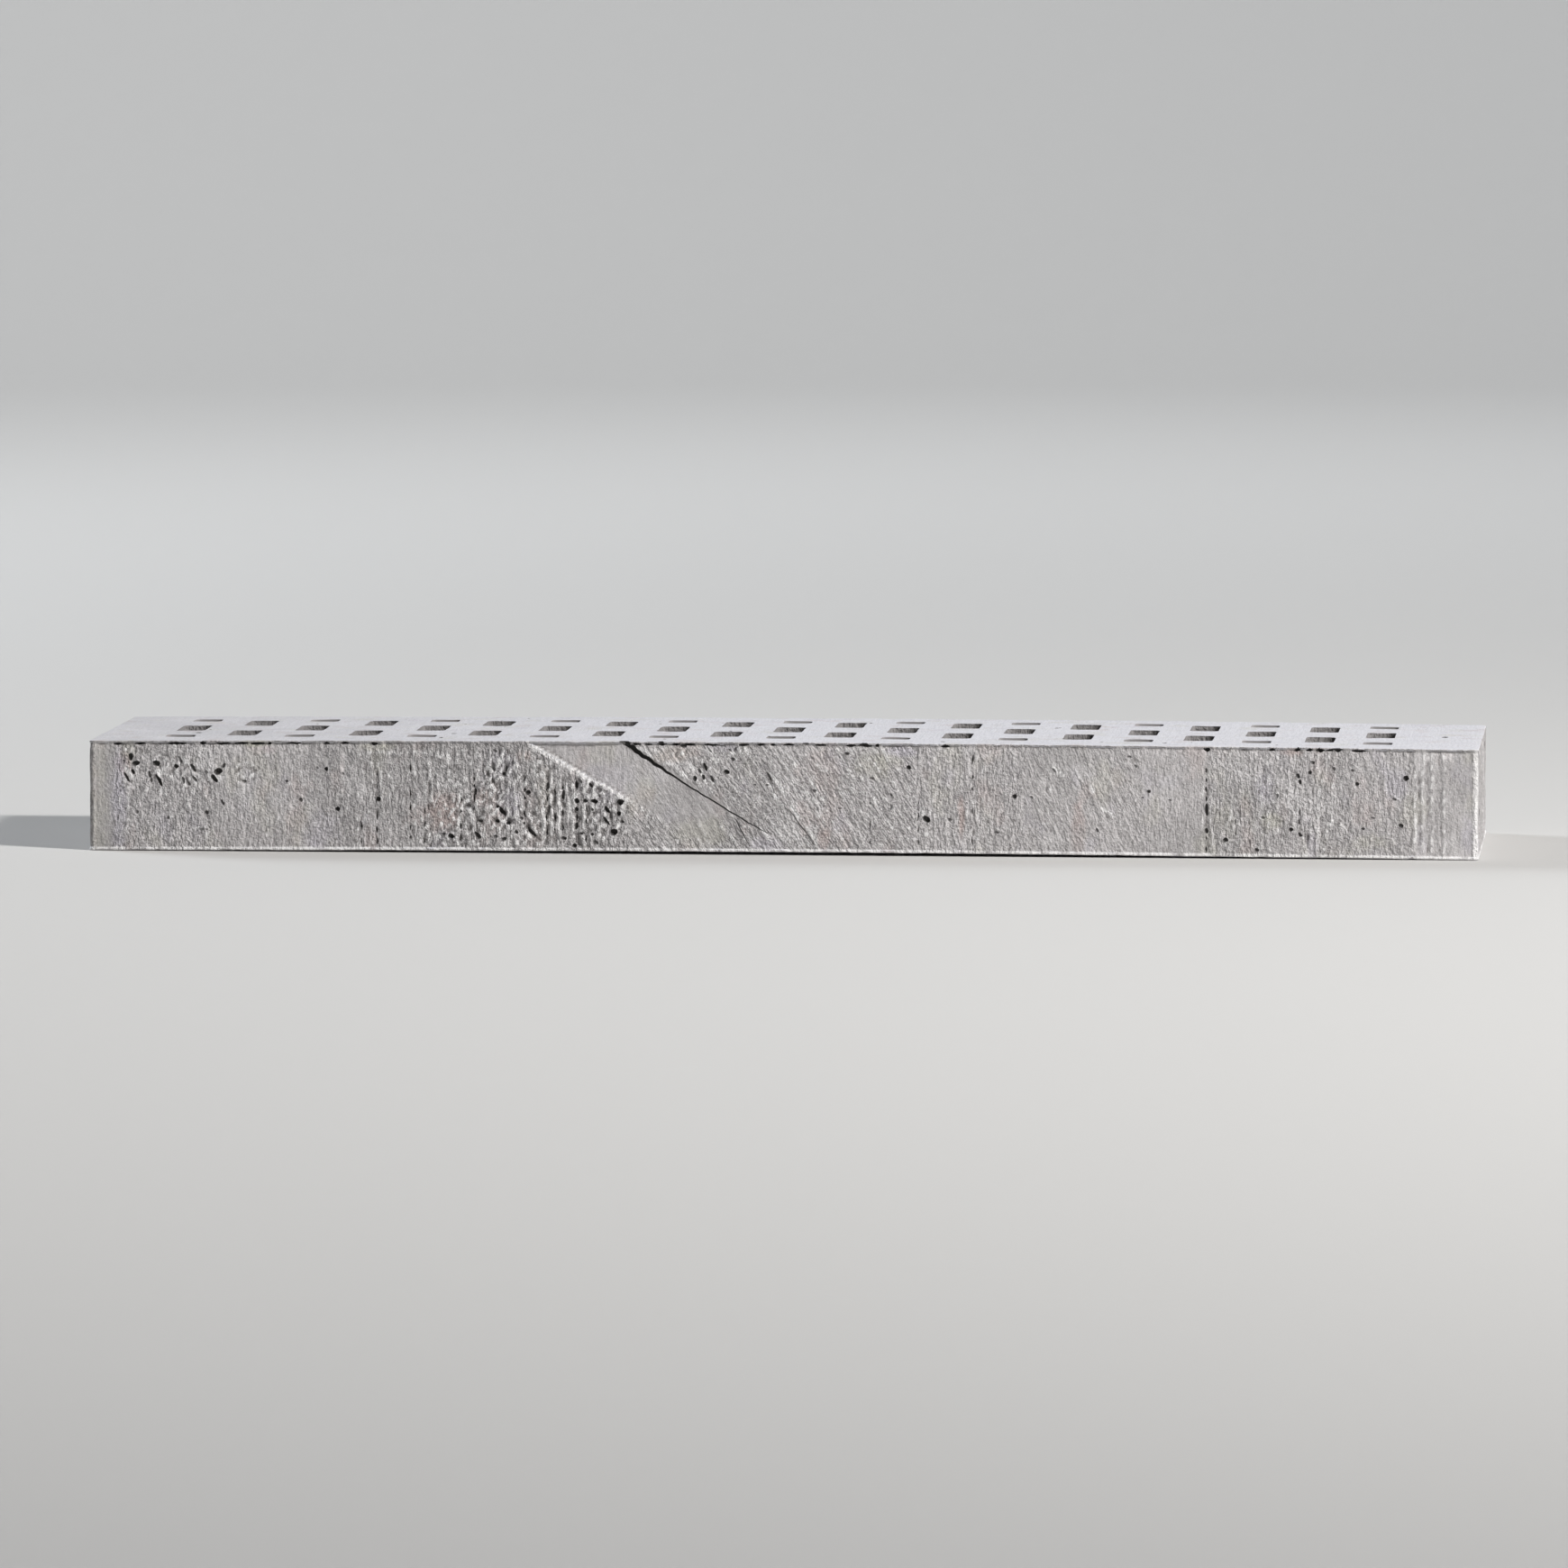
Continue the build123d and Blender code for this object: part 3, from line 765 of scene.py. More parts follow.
# Air holes, pulled-out grit and cracks of the front, in millimetres: place along, height,
# half sizes along and across the mark, depth, turn in degrees
frontPits = [
    # cluster near the left end
    (-230, 33.3, 1.4, 0.85, 1, 90), (-228.2, 31, 1.5, 0.9, 1, 10), (-231.4, 26, 2.2, 0.55, 0.7, -58),
    (-229.2, 28, 1, 0.7, 0.7, -60), (-232.6, 31.5, 0.8, 0.6, 0.4, 90), (-221, 31, 1.5, 1, 1, -10),
    (-220, 25, 2.6, 0.6, 0.8, -63), (-223.4, 27, 1.4, 0.65, 0.6, -80), (-222.8, 25, 0.9, 0.55, 0.4, 90),
    (-214, 30, 1, 0.85, 0.9, 0), (-212.6, 32.4, 1.4, 0.6, 0.5, -60), (-208, 29.4, 1.8, 0.7, 0.7, -55),
    (-211.6, 25, 1.4, 0.6, 0.6, -80), (-209.6, 24, 1, 0.6, 0.5, -60), (-207.6, 25.6, 1.3, 0.6, 0.6, -60),
    (-203.6, 27.9, 0.9, 0.7, 0.5, 0), (-199.2, 28.3, 1.6, 1.1, 1.2, 20),
    (-197.4, 30.2, 1.2, 0.6, 0.6, 50), (-200.5, 25.7, 1.8, 0.9, 1, -50), (-228, 13.7, 0.8, 0.7, 0.45, 0),
    (-203.3, 13.6, 0.85, 0.75, 0.6, 0), (-197.8, 17.4, 1.2, 0.6, 0.6, -60),
    (-217, 11.7, 0.7, 0.5, 0.35, 90), (-205.3, 7.8, 1, 0.6, 0.4, -20), (-190.2, 24.8, 0.9, 0.6, 0.35, 0),
    (-175.2, 24.9, 0.8, 0.6, 0.5, 0), (-161.2, 29.4, 0.85, 0.8, 0.9, 90),
    (-164.3, 29.8, 0.6, 0.5, 0.3, 90), (-170.2, 18.5, 0.85, 0.75, 0.6, 0),
    (-157.2, 15.3, 0.95, 0.9, 1, 0), (-155.4, 27.8, 0.6, 0.5, 0.3, 0), (-142.7, 18.8, 0.95, 0.9, 1, 90),
    (-149.2, 10, 1.3, 0.5, 0.4, 90),
    # torn and combed clay under the scrape
    (-117.2, 5.9, 1.2, 0.9, 0.8, -20), (-120, 6.8, 0.9, 0.6, 0.4, 0), (-107.8, 6.4, 1.7, 0.8, 0.9, -45),
    (-107, 11.2, 1, 0.6, 0.5, 0), (-108.6, 21.8, 1.4, 0.6, 0.6, 90), (-101.7, 36.2, 0.9, 0.6, 0.5, -30),
    (-97.7, 29.8, 1.2, 0.6, 0.6, 90), (-98.8, 28, 0.8, 0.6, 0.5, 0), (-102.6, 29.8, 1.3, 0.5, 0.4, -50),
    (-99.6, 15.2, 2.6, 0.9, 0.8, -45), (-100.6, 11.4, 1.2, 0.7, 0.6, 0), (-97, 10.6, 0.9, 0.7, 0.6, 0),
    (-94.2, 7.6, 0.9, 0.7, 0.7, 0), (-98.6, 5.1, 1, 0.7, 0.6, 30), (-101.6, 6, 0.8, 0.6, 0.5, 0),
    (-89, 7.8, 3, 0.7, 0.7, -48), (-90.2, 21.6, 1, 0.9, 0.9, 0), (-92.6, 12.4, 0.9, 0.6, 0.5, 0),
    (-83, 24, 1.3, 0.7, 0.6, 90), (-82.6, 16, 1.8, 0.6, 0.5, 90), (-77.6, 21, 1.8, 0.6, 0.6, 90),
    (-77.4, 5.5, 1, 0.7, 0.6, 0), (-73, 24.5, 1.6, 0.6, 0.7, 90), (-72.9, 18.8, 0.95, 0.9, 1, 90),
    (-73, 15.7, 0.9, 0.75, 0.9, 90), (-73.1, 9.8, 1.4, 0.65, 0.8, 90), (-73.7, 2.9, 0.9, 0.8, 0.9, 45),
    (-66.7, 18.7, 1.4, 0.85, 1, -20), (-70, 18.7, 0.9, 0.7, 0.7, 0), (-67.4, 15.6, 0.8, 0.6, 0.6, -60),
    (-62.2, 15.6, 1.6, 0.7, 0.9, -55), (-62.6, 11.8, 1.9, 0.6, 0.7, -50), (-57.7, 18.3, 1.3, 1.1, 1.2, 0),
    (-58, 14.4, 0.95, 0.85, 0.9, 0), (-59.8, 7.8, 1.4, 1.2, 1.4, 0), (-68.2, 24.4, 1.4, 0.6, 0.6, -50),
    (-71.8, 25.8, 1.2, 0.6, 0.5, -40), (-67.5, 7, 0.8, 0.6, 0.6, 0), (-71.5, 7.2, 0.8, 0.6, 0.6, 0),
    (-66, 4.2, 1.1, 0.55, 0.5, -45), (-57, 11.4, 0.7, 0.6, 0.5, 0), (-65, 20.6, 0.7, 0.5, 0.5, -45),
    # middle
    (-35.3, 38.4, 1.3, 0.7, 0.7, 0), (-43.2, 39.3, 1, 0.8, 0.8, 0), (-26.2, 37, 1.3, 0.5, 0.5, -50),
    (-19.2, 37, 0.9, 0.55, 0.5, -30), (-17, 37.4, 0.8, 0.5, 0.45, 60), (-18, 33.8, 0.9, 0.7, 0.5, 0),
    (-20, 29.3, 1.05, 0.9, 1, 0), (-27.6, 31, 1.8, 0.6, 0.8, -70), (-29.7, 29.5, 1.1, 0.6, 0.6, -60),
    (-31.3, 27, 1, 0.75, 0.9, 90), (-28.3, 27.3, 1.1, 0.6, 0.7, -80), (-25.3, 26.8, 1.4, 0.6, 0.6, -60),
    (-10.5, 24.7, 0.8, 0.5, 0.3, 0), (-6, 24.7, 0.7, 0.5, 0.3, 0), (-5, 27.6, 2, 0.45, 0.4, -62),
    (10.8, 22.9, 0.8, 0.6, 0.45, 0), (22.3, 36, 1, 0.6, 0.6, 0), (31, 27.4, 1, 0.5, 0.4, 0),
    (44, 31.3, 0.95, 0.8, 0.9, 0), (50.3, 13.1, 1.6, 1, 1.1, -40), (81.3, 21.3, 0.9, 0.8, 0.85, 0),
    (87.3, 21.1, 0.75, 0.6, 0.45, 0), (75, 8.6, 0.9, 0.6, 0.4, 0), (58.4, 13, 0.7, 0.55, 0.4, 0),
    (95.2, 30.6, 1, 0.55, 0.4, -50), (110.3, 9.6, 0.8, 0.7, 0.45, 90), (124, 32.2, 0.7, 0.6, 0.45, 90),
    (128.6, 23.4, 0.8, 0.7, 0.65, 0), (126.4, 21.2, 0.6, 0.5, 0.3, 0),
    # right
    (148.8, 31, 0.9, 0.5, 0.5, 90), (149, 17.2, 2.3, 0.65, 0.7, 90), (149, 9.8, 1.1, 0.65, 0.7, 90),
    (155.7, 6.6, 0.95, 0.9, 0.9, 0), (166.7, 3.2, 0.8, 0.7, 0.6, 0), (168.8, 14.5, 0.8, 0.55, 0.5, 0),
    (173.8, 22.2, 0.8, 0.6, 0.5, 90), (178.7, 10.4, 0.9, 0.75, 0.7, 0), (181.2, 29.2, 1, 0.7, 0.7, -60),
    (181.8, 27, 0.9, 0.65, 0.65, 90), (185.4, 30.5, 0.8, 0.7, 0.7, 0), (186.3, 34, 0.9, 0.7, 0.55, 0),
    (182, 8.6, 1, 0.65, 0.6, -45), (181.5, 13, 1.1, 0.5, 0.45, 90), (184.6, 7.5, 1.2, 0.5, 0.45, 90),
    (200.3, 31.3, 0.65, 0.5, 0.4, 0), (202, 26.5, 0.85, 0.75, 0.7, 0), (204.1, 10.8, 0.8, 0.65, 0.55, 0),
    (219.3, 28.6, 1.1, 1, 1.1, 0), (217.4, 12, 0.95, 0.8, 0.7, 0), (207.5, 14.6, 0.8, 0.5, 0.4, 0),
    (215, 21.2, 0.85, 0.6, 0.4, 0), (193.8, 31.8, 0.7, 0.6, 0.45, 0), (121.6, 35.5, 1, 0.5, 0.4, 0),
    (136, 20.4, 0.6, 0.5, 0.35, 0),
    # nicks under the upper arris
    (-214, 38.2, 1.6, 0.7, 0.8, 0), (-204.7, 38.3, 1.1, 0.6, 0.7, 0), (-144.3, 38.6, 1.1, 0.7, 0.8, 0),
    (-7.6, 39.2, 1.1, 0.6, 0.6, 0), (7.6, 39.3, 1.4, 0.5, 0.5, 0), (28.3, 39.3, 1.8, 0.6, 0.7, 0),
    (33, 39, 0.9, 0.6, 0.6, 30), (57, 39, 1.1, 0.6, 0.6, 0), (149.2, 38.3, 1.1, 0.9, 1, 0),
    (181, 38.6, 0.9, 0.7, 0.8, 0), (185.3, 38.5, 0.9, 0.7, 0.8, 0), (189, 38.3, 1.2, 0.9, 1.1, 0),
    (194.6, 38.6, 2.6, 0.5, 0.6, 0),
]

# Open cracks of the front and its broken upright slots, in millimetres
# lines: place, height, half width and depth of each station
# undercuts: start, end and open share of a broken slot below the upper arris
# slots: place, lowest, highest, half width, depth, open share
frontCracks = {
    "seed": 19,
    "spacing": 1.6,
    "sides": 8,
    "shortest": 0.8,
    "gap": 0.3,  # between the runs of a slot or an undercut
    "slotRuns": (1.0, 3.4),
    "undercutRuns": (1.6, 5.0),
    "underBed": 1.1,  # how far the undercuts lie below the upper bed
    "lines": [
        [(-57.2, 40.6, 1.35, 1.7), (-54.4, 38.2, 1.1, 1.6), (-49.4, 34.6, 0.8, 1.3), (-43.9, 31, 0.6, 1),
         (-38, 27, 0.34, 0.7), (-26, 19.6, 0.28, 0.5), (-13, 11.7, 0.24, 0.4), (-5.6, 7.7, 0.12, 0.2)],
        [(-17, 12.6, 0.12, 0.15), (-14.8, 8.4, 0.24, 0.3), (-12, 3, 0.12, 0.1)],
        [(1.8, 16.4, 0.1, 0.12), (5.8, 10.6, 0.2, 0.24), (10.6, 4.9, 0.1, 0.1)],
    ],
    "undercuts": [
        (-217, -210.5, 0.9), (-205.6, -203.4, 0.9), (-199.8, -180.4, 0.85), (-162, -160, 0.9),
        (-144.6, -143, 0.9), (-54, -31, 0.75), (-28, 7, 0.5), (11, 20, 0.5), (22, 33.5, 0.85),
        (55.4, 58.4, 0.9), (147.8, 150.2, 0.9), (171, 176, 0.5), (179.6, 182, 0.9), (184, 186.4, 0.9),
        (187.4, 196.4, 0.9), (200, 206, 0.5), (-175, -166, 0.4), (-156, -148, 0.4), (-236, -222, 0.4),
    ],
    "slots": [
        (-148.8, 3, 12, 0.32, 0.4, 0.5), (-143.4, 3, 28, 0.36, 0.45, 0.55),
        (-131.5, 5, 34, 0.34, 0.4, 0.45), (-126.7, 3, 16, 0.32, 0.4, 0.5),
        (-113.8, 4, 20, 0.36, 0.45, 0.5), (-109, 15, 27, 0.4, 0.5, 0.6), (-91.3, 10, 27, 0.4, 0.5, 0.55),
        (-80.7, 8, 24, 0.34, 0.4, 0.45), (-83.4, 6, 26, 0.36, 0.45, 0.5), (-77.9, 8, 24, 0.4, 0.5, 0.55),
        (-73.1, 11.6, 14, 0.42, 0.6, 0.7), (-69.5, 4, 22, 0.38, 0.45, 0.5), (-66, 8, 12, 0.36, 0.45, 0.6),
        (47.3, 4, 22, 0.3, 0.35, 0.45), (66.5, 4, 36, 0.3, 0.34, 0.35), (148.9, 20, 30, 0.38, 0.45, 0.55),
        (148.9, 2, 8, 0.36, 0.4, 0.55), (181.8, 15, 24, 0.3, 0.35, 0.4), (37.8, 16, 22, 0.3, 0.35, 0.5),
        (30.4, 4, 19, 0.28, 0.3, 0.35), (159.2, 8, 14, 0.28, 0.3, 0.5),
    ],
}

# Air holes drawn at random on the other faces and on both beds, in millimetres
scatteredPits = {
    "counts": {"right": 12, "back": 44, "left": 12, "upper": 30, "lower": 20},
    "seed": 9,
    "small": 0.5,
    "large": 1.4,
    "fromEnds": 8,
    "roughness": 1.1,
}


# One vertex for each pit, with the way it opens, the way it lies and its half sizes
def pitPlaces():
    clay, small, large = block["clayHeight"], scatteredPits["small"], scatteredPits["large"]
    draw = np.random.default_rng(scatteredPits["seed"])
    drawn = [("front", *pit) for pit in frontPits]
    for name in ("right", "back", "left"):
        half = faceReach(name)[0] - scatteredPits["fromEnds"]
        for _ in range(scatteredPits["counts"][name]):
            reach = small + (large - small) * draw.random() ** 2.5
            turn = draw.choice([0, 90, -55])
            place = draw.uniform(-half, half), draw.uniform(3, clay - 3)
            sizes = reach * draw.uniform(1, 2), reach, reach * draw.uniform(0.6, 1.1)
            drawn.append((name, *place, *sizes, turn))
    found = []
    for name, u, height, reachAlong, reachAcross, depth, turn in drawn:
        way, out = sideWays[name]
        u, apart = u + slant(u, name), faceReach(name)[1]
        x, y = [way[i] * u + out[i] * apart for i in (0, 1)]
        own = height - bowRise(x)
        spot = [np.array([value]) for value in (u, height, own, clay - own)]
        sunk = block["faceInset"] - float(faceRelief(*spot, name)[0])
        at, turn = (x - out[0] * sunk, y - out[1] * sunk, height), math.radians(turn)
        lies = (way[0] * math.cos(turn), way[1] * math.cos(turn), math.sin(turn))
        found.append((at, (*out, 0), lies, (reachAlong, reachAcross, depth)))
    for name, level, out in (("upper", clay - block["bedInset"], 1), ("lower", block["bedInset"], -1)):
        for _ in range(scatteredPits["counts"][name]):
            x, y = draw.uniform(-length / 2 + 6, length / 2 - 6), draw.uniform(-width / 2 + 5, width / 2 - 5)
            reach = small + (large - small) * draw.random() ** 2
            sizes = (reach * draw.uniform(1, 2.2), reach, reach * draw.uniform(0.5, 0.9))
            found.append(((x, y, level + bowRise(x)), (0, 0, out), (0, 1, 0), sizes))
    mesh = bpy.data.meshes.new("pitPlaces")
    mesh.from_pydata([[v * mm for v in place] for place, *_ in found], [], [])
    for index, name in enumerate(("opens", "lies", "reach"), 1):
        store(mesh, name, np.array([pit[index] for pit in found], float) * (mm if name == "reach" else 1))
    return mesh


# Where the runs of a broken slot start, and how long each is
def brokenRuns(draw, start, end, share, lengths):
    at = start
    while at < end - frontCracks["shortest"]:
        reach = min(draw.uniform(*lengths), end - at)
        yield at, reach
        at += reach + frontCracks["gap"] + reach * (1 / share - 1) * draw.uniform(0.5, 1.5)


# Closed tubes along the cracks and the slots, to be cut out of the clay
def crackMesh():
    clay, sides = block["clayHeight"], frontCracks["sides"]
    draw = np.random.default_rng(frontCracks["seed"])
    runs = [np.array(line) for line in frontCracks["lines"]]
    for place, lowest, highest, half, deep, share in frontCracks["slots"]:
        for height, reach in brokenRuns(draw, lowest, highest, share, frontCracks["slotRuns"]):
            at, wide = place + draw.uniform(-0.2, 0.2, 3), half * draw.uniform(0.75, 1.2)
            sizes = [(0.3 * wide, 0.3 * deep), (wide, deep), (0.3 * wide, 0.3 * deep)]
            runs.append(np.array([(at[i], height + reach * i / 2, *sizes[i]) for i in range(3)]))
    for start, end, share in frontCracks["undercuts"]:
        for u, reach in brokenRuns(draw, start, end, share, frontCracks["undercutRuns"]):
            top = clay + bowRise(u + reach / 2) - frontCracks["underBed"]
            at, wide = top + draw.uniform(-0.1, 0.1, 3), draw.uniform(0.42, 0.62)
            sizes = [(0.5 * wide, 0.3), (wide, 1.0), (0.5 * wide, 0.3)]
            runs.append(np.array([(u + reach * i / 2, at[i], *sizes[i]) for i in range(3)]))
    points, faces = [], []
    for stations in runs:
        run = np.concatenate([[0], np.cumsum(np.hypot(*np.diff(stations[:, :2], axis=0).T))])
        at = np.linspace(0, run[-1], max(2, round(run[-1] / frontCracks["spacing"])) + 1)
        u, height, half, deep = [np.interp(at, run, stations[:, i]) for i in range(4)]
        u = u + slant(u, "front")
        du, dz = np.gradient(u), np.gradient(height)
        reach = np.hypot(du, dz)
        sway = 0.45 * half * draw.uniform(-1, 1, len(at))
        u, height = u - sway * dz / reach, height + sway * du / reach
        own = height - bowRise(u)
        sunk = block["faceInset"] - faceRelief(u, height, own, clay - own, "front")
        first = len(points)
        for k in range(len(at)):
            for turn in np.arange(sides) * 2 * math.pi / sides:
                across, into = half[k] * math.cos(turn), deep[k] * math.sin(turn)
                x, z = u[k] - across * dz[k] / reach[k], height[k] + across * du[k] / reach[k]
                points.append((x * mm, (sunk[k] + into - width / 2) * mm, z * mm))
        ring = np.arange(sides)
        for k in range(len(at) - 1):
            a, b = first + k * sides, first + (k + 1) * sides
            faces += [(a + i, b + i, b + (i + 1) % sides, a + (i + 1) % sides) for i in ring]
        faces += [tuple(first + ring), tuple(first + (len(at) - 1) * sides + ring[::-1])]
    mesh = bpy.data.meshes.new("crackCores")
    mesh.from_pydata(points, [], [tuple(map(int, face)) for face in faces])
    return mesh


# A rough ball at each place, to be cut out of the clay
def pitTree(values):
    wire, given = newTree("pitCores", values)
    ball = wire.node("GeometryNodeMeshIcoSphere", (), {"Radius": 1.0, "Subdivisions": 2})

    def read(name):
        return wire.node("GeometryNodeInputNamedAttribute", {"data_type": "FLOAT_VECTOR"}, {"Name": name})

    turn = wire.node("FunctionNodeAlignRotationToVector", {"axis": "Z"}, {"Vector": read("opens")})
    along = {"axis": "X", "pivot_axis": "Z"}
    turn = wire.node("FunctionNodeAlignRotationToVector", along, {"Rotation": turn, "Vector": read("lies")})
    points = wire.node("GeometryNodeMeshToPoints", (), {"Mesh": given["Geometry"]})
    balls = {"Points": points, "Instance": ball, "Rotation": turn, "Scale": read("reach")}
    balls = wire.node("GeometryNodeInstanceOnPoints", (), balls)
    balls = wire.node("GeometryNodeRealizeInstances", (), {"Geometry": balls})
    spot = wire.node("GeometryNodeInputPosition")
    lumps = wire.node("ShaderNodeTexNoise", (), {"Vector": spot, "Scale": 900.0, "Detail": 1.0}, "Color")
    shove = wire.node("ShaderNodeVectorMath", {"operation": "SUBTRACT"}, {0: lumps, 1: (0.5, 0.5, 0.5)})
    shove = shove.times(read("reach").part("Y") * given["Roughness"])
    balls = wire.node("GeometryNodeSetPosition", (), {"Geometry": balls, "Offset": shove})
    balls = wire.node("GeometryNodeSetMaterial", (), {"Geometry": balls, "Material": given["Clay"]})
    wire.node("NodeGroupOutput", (), {"Geometry": balls})
    return wire.tree


def placed(name, data):
    made = bpy.data.objects.new(name, data)
    bpy.context.scene.collection.objects.link(made)
    return made


# Keeps numbers or vectors in a mesh, one for each of its points, faces or corners
def store(mesh, name, values, domain="POINT"):
    kind, field = ("FLOAT_VECTOR", "vector") if values.ndim > 1 else ("FLOAT", "value")
    mesh.attributes.new(name, kind, domain).data.foreach_set(field, values.ravel())


def fetch(items, field, each=1, kind=float):
    values = np.empty(len(items) * each, dtype=kind)
    items.foreach_get(field, values)
    return values


# An object with a node tree on its mesh, and the values in the tree's inputs
def withTree(name, mesh, build, values):
    made, tree = placed(name, mesh), build(values)
    modifier = made.modifiers.new(tree.name, "NODES")
    modifier.node_group = tree
    for item in tree.interface.items_tree:
        if item.in_out == "INPUT" and item.name in values:
            modifier[item.identifier] = values[item.name]
    bpy.context.view_layer.update()
    return made


# What the object looks like with its modifiers, as a plain mesh
def plainMesh(made):
    graph = bpy.context.evaluated_depsgraph_get()
    return bpy.data.meshes.new_from_object(made.evaluated_get(graph), depsgraph=graph)


firedClay = bpy.data.materials.new("firedClay")
firedClay.use_nodes = True

pitValues = {"Roughness": scatteredPits["roughness"], "Clay": firedClay}
pitCores = withTree("pitCores", pitPlaces(), pitTree, pitValues)
print("pits placed")
columnPoints = bpy.data.meshes.new("columns")
columnPoints.from_pydata([(x * mm, 0, 0) for x in columnPlaces], [], [])
columns, crackCores = placed("columns", columnPoints), placed("crackCores", crackMesh())
blank = blankMesh()
print("blank", len(blank.polygons), "faces")
sizes = {
    "Columns": columns,
    "Inner Row": innerRow * mm,
    "Outer Row": outerRow * mm,
    "Hole Width": perforation["holeWidth"] * mm,
    "Long Hole": perforation["longHole"] * mm,
    "Short Hole": perforation["shortHole"] * mm,
    "Corner Radius": perforation["cornerRadius"] * mm,
    "Height": block["clayHeight"] * mm,
    "Overshoot": perforation["overshoot"] * mm,
    "Bow": block["bow"] * mm,
    "Half Length": length / 2 * mm,
    "Wall Rows": perforation["wallRows"],
    "Mouth Flare": perforation["mouthFlare"] * mm,
    "Wall Roughness": perforation["wallRoughness"] * mm,
    "Seed": perforation["seed"],
    "Pits": pitCores,
    "Cracks": crackCores,
    "Clay": firedClay,
}
draft = withTree("brickDraft", blank, coreTree, sizes)
mesh = plainMesh(draft)
for made in (draft, columns, crackCores, pitCores):
    bpy.data.objects.remove(made)
mesh.name = "clinkerBrick"
brick = placed("clinkerBrick", mesh)
mesh.shade_smooth()
mesh.set_sharp_from_angle(angle=math.radians(block["creaseAngle"]))
triangles = sum(len(face.vertices) - 2 for face in mesh.polygons)
print("brick", len(mesh.polygons), "faces", triangles, "triangles")
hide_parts("clinker_brick")
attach(brick, "root")

# Colour patches of the front: place along, height, half sizes, share of red, yellow and lilac
frontTints = [
    (-232.5, 31, 3, 5, (0.9, 0.1, 0)), (-234.2, 18, 2.8, 22, (0, 0, 0.7)),
    (-241.5, 18, 3.6, 24, (0, 0.3, 0)), (-62, 24, 12, 9, (0, 0.1, 0.4)),
    (-186, 38.2, 6, 1.2, (0, 0.7, 0)), (-183, 36, 5, 1.5, (0.5, 0, 0.2)), (-163, 8, 7, 7, (0, 0, 0.35)),
    (-143, 37.5, 7, 1.6, (0, 0.5, 0)), (-119.5, 15, 6.5, 7.5, (0.9, 0, 0)),
    (-105.5, 19.5, 4, 4, (0.6, 0, 0)), (-97, 18, 4.5, 6, (0, 0, 0.4)), (-91, 34.5, 3, 2, (0.6, 0.1, 0)),
    (-84, 20, 3, 12, (0.1, 0.3, 0)), (-40, 35, 8, 3, (0.45, 0.25, 0)), (-28, 8, 10, 6, (0, 0.45, 0)),
    (-6, 4, 7, 3, (0.1, 0, 0.6)), (14, 5.5, 2.5, 4, (0.7, 0, 0)), (33, 32, 8, 5, (0, 0.45, 0)),
    (41, 37, 6, 2.2, (0, 0, 0.7)), (62.6, 13.5, 1.2, 6.5, (1, 0, 0)), (-22, 38, 6, 1.6, (0, 0, 0.5)),
    (178.5, 37.4, 4.5, 1.6, (0.9, 0, 0)), (170, 26, 4, 6, (0, 0, 0.5)), (172, 13, 4.5, 3, (0, 0.6, 0)),
    (216, 25.5, 4.5, 5, (0, 0, 0.5)), (207, 6, 7, 3, (0, 0.5, 0)), (241, 8, 3, 7, (0, 0, 0.5)),
    (186.5, 5, 2.5, 5, (0, 0, 0.5)), (104, 10, 3, 9, (0.35, 0, 0)),
]

# How the surface is painted on the mesh for the finish, in millimetres. A stretch makes
# grain longer than it is wide
paintMarks = {
    "seeds": {"hues": 301, "lowerArris": 311, "front": 317, "right": 319},
    "streakStretch": 0.28,
    "wireStretch": 0.12,
    "carvedStep": 1.15,
    "skin": 2.4,  # how deep below the block's box a moulded face may lie
}


# Shares of red, yellow and lilac on the front
def hueShares(x, y, z):
    front = smooth(-y, width / 2 - 4, width / 2 - 2)
    tint = np.zeros((len(x), 3))
    for u, height, halfLength, halfHeight, shares in frontTints:
        apart = np.hypot((x - slant(x, "front") - u) / halfLength, (z - height) / halfHeight)
        ragged = 0.25 * layers(x / 3, z / 3, paintMarks["seeds"]["hues"], 2)
        patch = front * smooth(1.25 - apart + ragged, 0, 0.8)
        tint += patch[:, None] * np.array(shares)
    return tint
